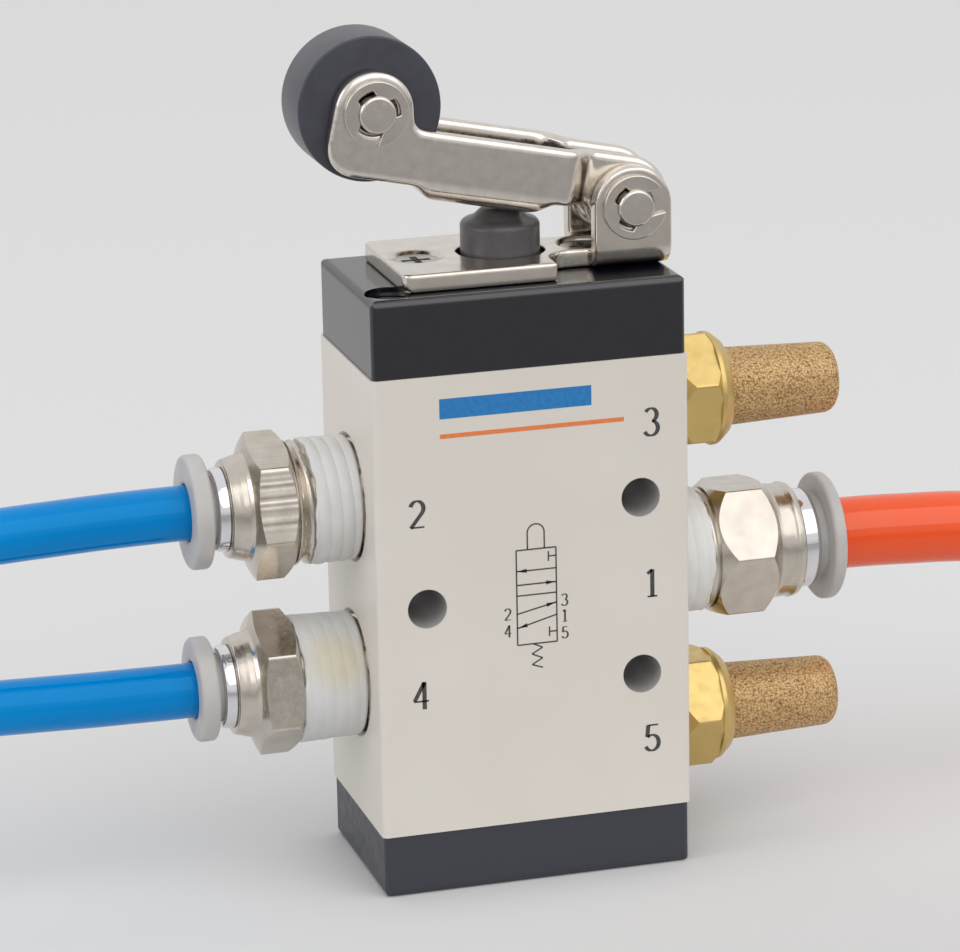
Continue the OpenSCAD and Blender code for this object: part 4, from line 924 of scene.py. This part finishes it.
# Painted shade in the pits and a painted highlight on the tops of the balls, over the bronze's own tones.
tint(POROUS, ball_shade_and_highlight.outputs["Fac"], [(0.2, (0.20, 0.105, 0.038)), (0.5, (0.38, 0.22, 0.088)),
                                          (0.75, (0.50, 0.31, 0.128)), (1.0, (0.82, 0.58, 0.29))])
GRAIN, PIT, SKIN_ROWS, SKIN_COLUMNS = 0.24, 0.09, 236, 390
ELEMENT_L, ELEMENT_ROOT, ELEMENT_TIP, ELEMENT_NOSE, ELEMENT_IN = 14.0, 4.35, 3.9, 1.3, 1.0
SILENCER_SEAT, SILENCER_HEX, SILENCER_COLLAR = 0.6, 5.0, 1.7
SILENCER_TOP = SILENCER_SEAT + SILENCER_HEX + SILENCER_COLLAR
ELEMENT_FOOT = SILENCER_TOP - ELEMENT_IN


def ball_skin(points, seed):
    """Height from 0 to 1: one minus the scaled square of the distance to the nearest chance ball."""
    cell = (points - points.reshape(-1, 3).min(axis=0)) / GRAIN + 1
    home = np.floor(cell).astype(int)
    place = np.random.default_rng(seed).uniform(0.1, 0.9, (*(home.reshape(-1, 3).max(axis=0) + 2), 3))
    nearest = np.full(points.shape[:-1], 9.0)
    for step in np.ndindex(3, 3, 3):
        near = home + np.array(step) - 1
        ball = near + place[near[..., 0], near[..., 1], near[..., 2]]
        nearest = np.minimum(nearest, ((cell - ball) ** 2).sum(axis=-1))
    return np.clip(1.0 - 1.1 * nearest, 0, 1)


def porous_element(place, height, seed):
    """Tapered thimble with a rounded tip, its skin set back by the relief of the balls."""
    outline = eased_outline([(0, ELEMENT_ROOT, 0), (ELEMENT_IN, ELEMENT_ROOT, 0),
                             (ELEMENT_L, ELEMENT_TIP, ELEMENT_NOSE), (ELEMENT_L, 0, 0)], 14)
    reach = np.concatenate([[0], np.cumsum(np.linalg.norm(np.diff(outline, axis=0), axis=1))])
    fine = np.linspace(0, reach[-1], SKIN_ROWS)
    along, radius = np.interp(fine, reach, outline[:, 0]), np.interp(fine, reach, outline[:, 1])
    slope = np.stack([np.gradient(radius, fine), -np.gradient(along, fine)], axis=1)
    angle = np.linspace(0, 2 * math.pi, SKIN_COLUMNS, endpoint=False)
    smooth = at_port(RIGHT, height, ELEMENT_FOOT + along[:, None], radius[:, None] + 0 * angle, angle)
    balls = ball_skin(smooth, seed)
    depth = PIT * (1 - balls) * np.clip(radius[:, None] / 0.6, 0, 1)
    deep = ELEMENT_FOOT + along[:, None] + depth * slope[:, :1]
    skin = at_port(RIGHT, height, deep, np.maximum(radius[:, None] + depth * slope[:, 1:], 0), angle)
    foot = at_port(RIGHT, height, np.full((1, 1), ELEMENT_FOOT), 0 * angle[None, :], angle)
    grid, heights = np.concatenate([foot, skin]), np.concatenate([balls[:1], balls])
    piece = piece_from_parts(place + "_porous_element", [(grid, False)], POROUS, "housing",
                             "sintered_bronze", place + "_silencer_element", ball=heights)
    print(piece.name, "faces:", len(piece.data.polygons))


# %% Brass nuts
NUT_FLATS, NUT_THREAD_R, NUT_RIM, NUT_BORE, NUT_IN, NUT_LEADS = 12.0, 4.87, 6.3, 2.5, -6.0, (1.65, 1.0)


def silencer_nut(place, height, turn):
    """Short thread, hexagon with a deep cone towards the body, and a rounded rim that holds the element."""
    end, top, edge = SILENCER_SEAT + SILENCER_HEX, SILENCER_TOP, NUT_RIM - 0.05
    tip, pocket = NUT_FLATS / 2 - 0.25, ELEMENT_ROOT + 0.03
    rings = plain_rings([(NUT_IN, NUT_BORE), (NUT_IN, NUT_THREAD_R), (SILENCER_SEAT, NUT_THREAD_R),
                         (SILENCER_SEAT, tip - 0.1)])
    rings += hexagon_rings(SILENCER_SEAT, end, hexagon(NUT_FLATS, turn), (tip, edge), NUT_LEADS)
    rings += plain_rings(eased_outline([
        (end, edge, 0), (end + 0.08, NUT_RIM, 0.08), (end + 0.55, edge, 0.45), (top, 5.3, 0.5),
        (top, pocket, 0), (ELEMENT_FOOT, pocket, 0), (ELEMENT_FOOT, NUT_BORE, 0)]))
    piece = ring_piece(place + "_silencer_nut", RIGHT, height, rings, YELLOW_BRASS, "yellow_brass",
                       place + "_silencer_body")
    print(piece.name, "faces:", len(piece.data.polygons))


for place, turn, seed in [("upper", 13, 11), ("lower", 28, 12)]:
    height = middle_mm(place + "_silencer_element")[2]
    silencer_nut(place, height, turn)
    porous_element(place, height, seed)

# %% [markdown]
# ## Printing on the front
# The front is screen printed: port numbers, two plain stripes, and the standard symbol of a valve with five
# ports and two positions. Each mark is a pen stroke: a flat ribbon along a path, a hair proud of the paint.
# A broad pen makes upright strokes thick and level ones thin, which gives the numbers their weight.

# %% Ink and pen
INK = mottled("print_ink", (0.045, 0.043, 0.043), (0.075, 0.07, 0.07), 0.5, 0.4, 3.0)
STRIPE_INK = mottled("stripe_ink", (0.75, 0.20, 0.05), (0.84, 0.24, 0.065), 0.5, 0.5, 3.0)
BLUE_INK = mottled("blue_ink", (0.010, 0.17, 0.46), (0.016, 0.21, 0.53), 0.5, 0.5, 3.0)
FRONT_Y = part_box("valve_body")[0].y / MM
PROUD, SUNK = 0.015, 0.03


def stroke(path, thin, thick):
    """Flat ribbon along a path (x, z), as wide as thin on level stretches and as thick on upright ones."""
    path = np.asarray(path, float)
    aim = unit(np.gradient(path, axis=0))
    half = (thin + (thick - thin) * np.abs(aim[:, 1])) / 2
    aside = half[:, None] * np.stack([-aim[:, 1], aim[:, 0]], axis=1)
    left, right = path + aside, path - aside
    front, back = FRONT_Y - PROUD, FRONT_Y + SUNK
    edges = [(left, front), (right, front), (right, back), (left, back)]
    rings = np.stack([np.stack([e[:, 0], 0 * e[:, 0] + y, e[:, 1]], axis=1) for e, y in edges], axis=1)
    poles = rings[[0, -1]].mean(axis=1, keepdims=True) + 0 * rings[[0, -1]]
    return np.concatenate([poles[:1], rings, poles[1:]])


def bow(x, z, wide, high, start_deg, end_deg, steps=28):
    """Arc of an ellipse."""
    a = np.radians(np.linspace(start_deg, end_deg, steps))
    return np.stack([x + wide * np.cos(a), z + high * np.sin(a)], axis=1)


def line(*points):
    """Straight stretches, each cut into short steps so that its width stays its own."""
    points = np.asarray(points, float)
    t = np.linspace(0, 1, 6)[:, None]
    return [(1 - t) * a + t * b for a, b in zip(points[:-1], points[1:])]


DIGITS = {
    "1": line((0.30, 0), (0.30, 1)) + line((0.30, 0.99), (0.12, 0.86)) + line((0.12, 0.02), (0.48, 0.02)),
    "2": [np.concatenate([bow(0.29, 0.72, 0.23, 0.26, 165, -25), line((0.47, 0.55), (0.06, 0.03))[0]])]
    + line((0.05, 0.04), (0.54, 0.04)),
    "3": [bow(0.27, 0.75, 0.21, 0.23, 150, -80), bow(0.27, 0.27, 0.25, 0.26, 80, -155)],
    "4": line((0.40, 1), (0.40, 0)) + line((0.40, 0.98), (0.04, 0.31)) + line((0.02, 0.30), (0.56, 0.30)),
    "5": line((0.13, 0.97), (0.50, 0.97)) + line((0.14, 0.98), (0.10, 0.54))
    + [bow(0.27, 0.31, 0.25, 0.29, 130, -155)],
}
DIGIT_MIDDLE = np.array([0.29, 0.5])
PEN_THIN, PEN_THICK = 0.06, 0.155


def numbers(rows, high):
    """Strokes of several digits, where each row is a digit and its middle (x, z)."""
    return [stroke((path - DIGIT_MIDDLE) * high + [x, z], PEN_THIN * high, PEN_THICK * high)
            for digit, x, z in rows for path in DIGITS[digit]]


def printed(name, strokes, material):
    """One printed piece from its strokes."""
    piece_from_parts(name, [(grid, False) for grid in strokes], material, "housing", "ivory_paint")


UPPER_OUT, LOWER_OUT, SUPPLY_IN = (port_height(f.name) / MM for f in FITTINGS)
TOP_EXHAUST, LOW_EXHAUST = (middle_mm(side + "_silencer_element")[2] for side in ("upper", "lower"))
LEFT_X, RIGHT_X, PORT_MARK = -12.9, 13.2, 3.1
marks = numbers([("2", LEFT_X, UPPER_OUT + 0.6), ("4", LEFT_X, LOWER_OUT + 0.3),
                 ("3", RIGHT_X + 0.1, TOP_EXHAUST), ("1", RIGHT_X, SUPPLY_IN + 0.2),
                 ("5", RIGHT_X - 0.1, LOW_EXHAUST + 0.8)], PORT_MARK)
printed("port_numbers", marks, INK)
print("port numbers:", len(marks), "strokes")

# %% [markdown]
# The symbol is two boxes, one for each position, with arrows for the open ways and short bars for the
# closed ones. A rounded plunger stands on top and a zigzag spring below. Under a broad blue stripe runs a
# thin orange one.

# %% Valve symbol and stripes
LINE_W, SMALL_MARK, LEFT_MARK, RIGHT_MARK = 0.16, 1.35, -3.1, 3.3
BOX_L, BOX_R, BOX_LOW, BOX_MID, BOX_TOP = -2.05, 2.4, 27.3, 32.85, 37.95
KNOB_L, KNOB_R, KNOB_TOP, KNOB_ROUND = -0.78, 1.11, 39.8, 0.95
STUB_X, STUB_HALF, TOP_STUB, LOW_STUB = 1.55, 0.55, 37.0, 28.5
HEAD_L, HEAD_W, HEAD_BLUNT = 1.15, 0.46, 0.15


def ruled(*points, width=LINE_W):
    """Lines of one width."""
    return [stroke(path, width, width) for path in line(*points)]


def arrow(tail, tip):
    """Line with a slim head: a stroke whose width falls to a point at the tip."""
    tail, tip = np.asarray(tail, float), np.asarray(tip, float)
    head = tip - np.linspace(HEAD_L, HEAD_BLUNT, 6)[:, None] * unit(tip - tail)
    ribbon = stroke(head, 1, 1)
    shrink = np.concatenate([[HEAD_W], np.linspace(HEAD_W, 0.03, 6), [0.03]])[:, None, None]
    spine = ribbon.mean(axis=1, keepdims=True)
    flat = ribbon - spine
    flat[..., [0, 2]] *= shrink
    return ruled(tail, tip) + [spine + flat]


def closed_way(z):
    """Short bar across the end of a stub."""
    return ruled((BOX_R, z), (STUB_X, z)) + ruled((STUB_X, z - STUB_HALF), (STUB_X, z + STUB_HALF))


symbol = ruled((BOX_L, BOX_LOW), (BOX_R, BOX_LOW), (BOX_R, BOX_TOP), (BOX_L, BOX_TOP), (BOX_L, BOX_LOW))
symbol += ruled((BOX_L, BOX_MID), (BOX_R, BOX_MID)) + closed_way(TOP_STUB) + closed_way(LOW_STUB)
symbol += arrow((BOX_R, 35.6), (BOX_L, 35.6)) + arrow((BOX_L, 34.05), (BOX_R, 34.05))
symbol += arrow((BOX_L, 30.8), (BOX_R, 31.75)) + arrow((BOX_R, 30.35), (BOX_L, 29.2))
for x in (KNOB_L, KNOB_R):
    symbol += ruled((x, BOX_TOP), (x, KNOB_TOP))
knob = bow((KNOB_L + KNOB_R) / 2, KNOB_TOP, (KNOB_R - KNOB_L) / 2, KNOB_ROUND, 0, 180)
symbol += [stroke(knob, LINE_W, LINE_W)]
symbol += ruled((-0.29, BOX_LOW), (0.74, 26.8), (-0.45, 26.15), (0.74, 25.6), (-0.45, 24.95), (0.75, 24.5))
symbol += numbers([("3", RIGHT_MARK, 31.9), ("1", RIGHT_MARK, 30.1), ("5", RIGHT_MARK, 28.2),
                   ("2", LEFT_MARK, 30.9), ("4", LEFT_MARK, 29.0)], SMALL_MARK)
printed("valve_symbol", symbol, INK)
STRIPE_L, STRIPE_R, BAR_R = -10.2, 10.2, 6.6
STRIPE_Z, BAR_Z, STRIPE_H, BAR_H = 51.4, 54.4, 0.48, 2.2
stripe = ruled((STRIPE_L, STRIPE_Z), (STRIPE_R, STRIPE_Z), width=STRIPE_H)
bar = ruled((STRIPE_L, BAR_Z), (BAR_R, BAR_Z), width=BAR_H)
printed("orange_stripe", stripe, STRIPE_INK)
printed("blue_stripe", bar, BLUE_INK)
print("symbol strokes:", len(symbol))
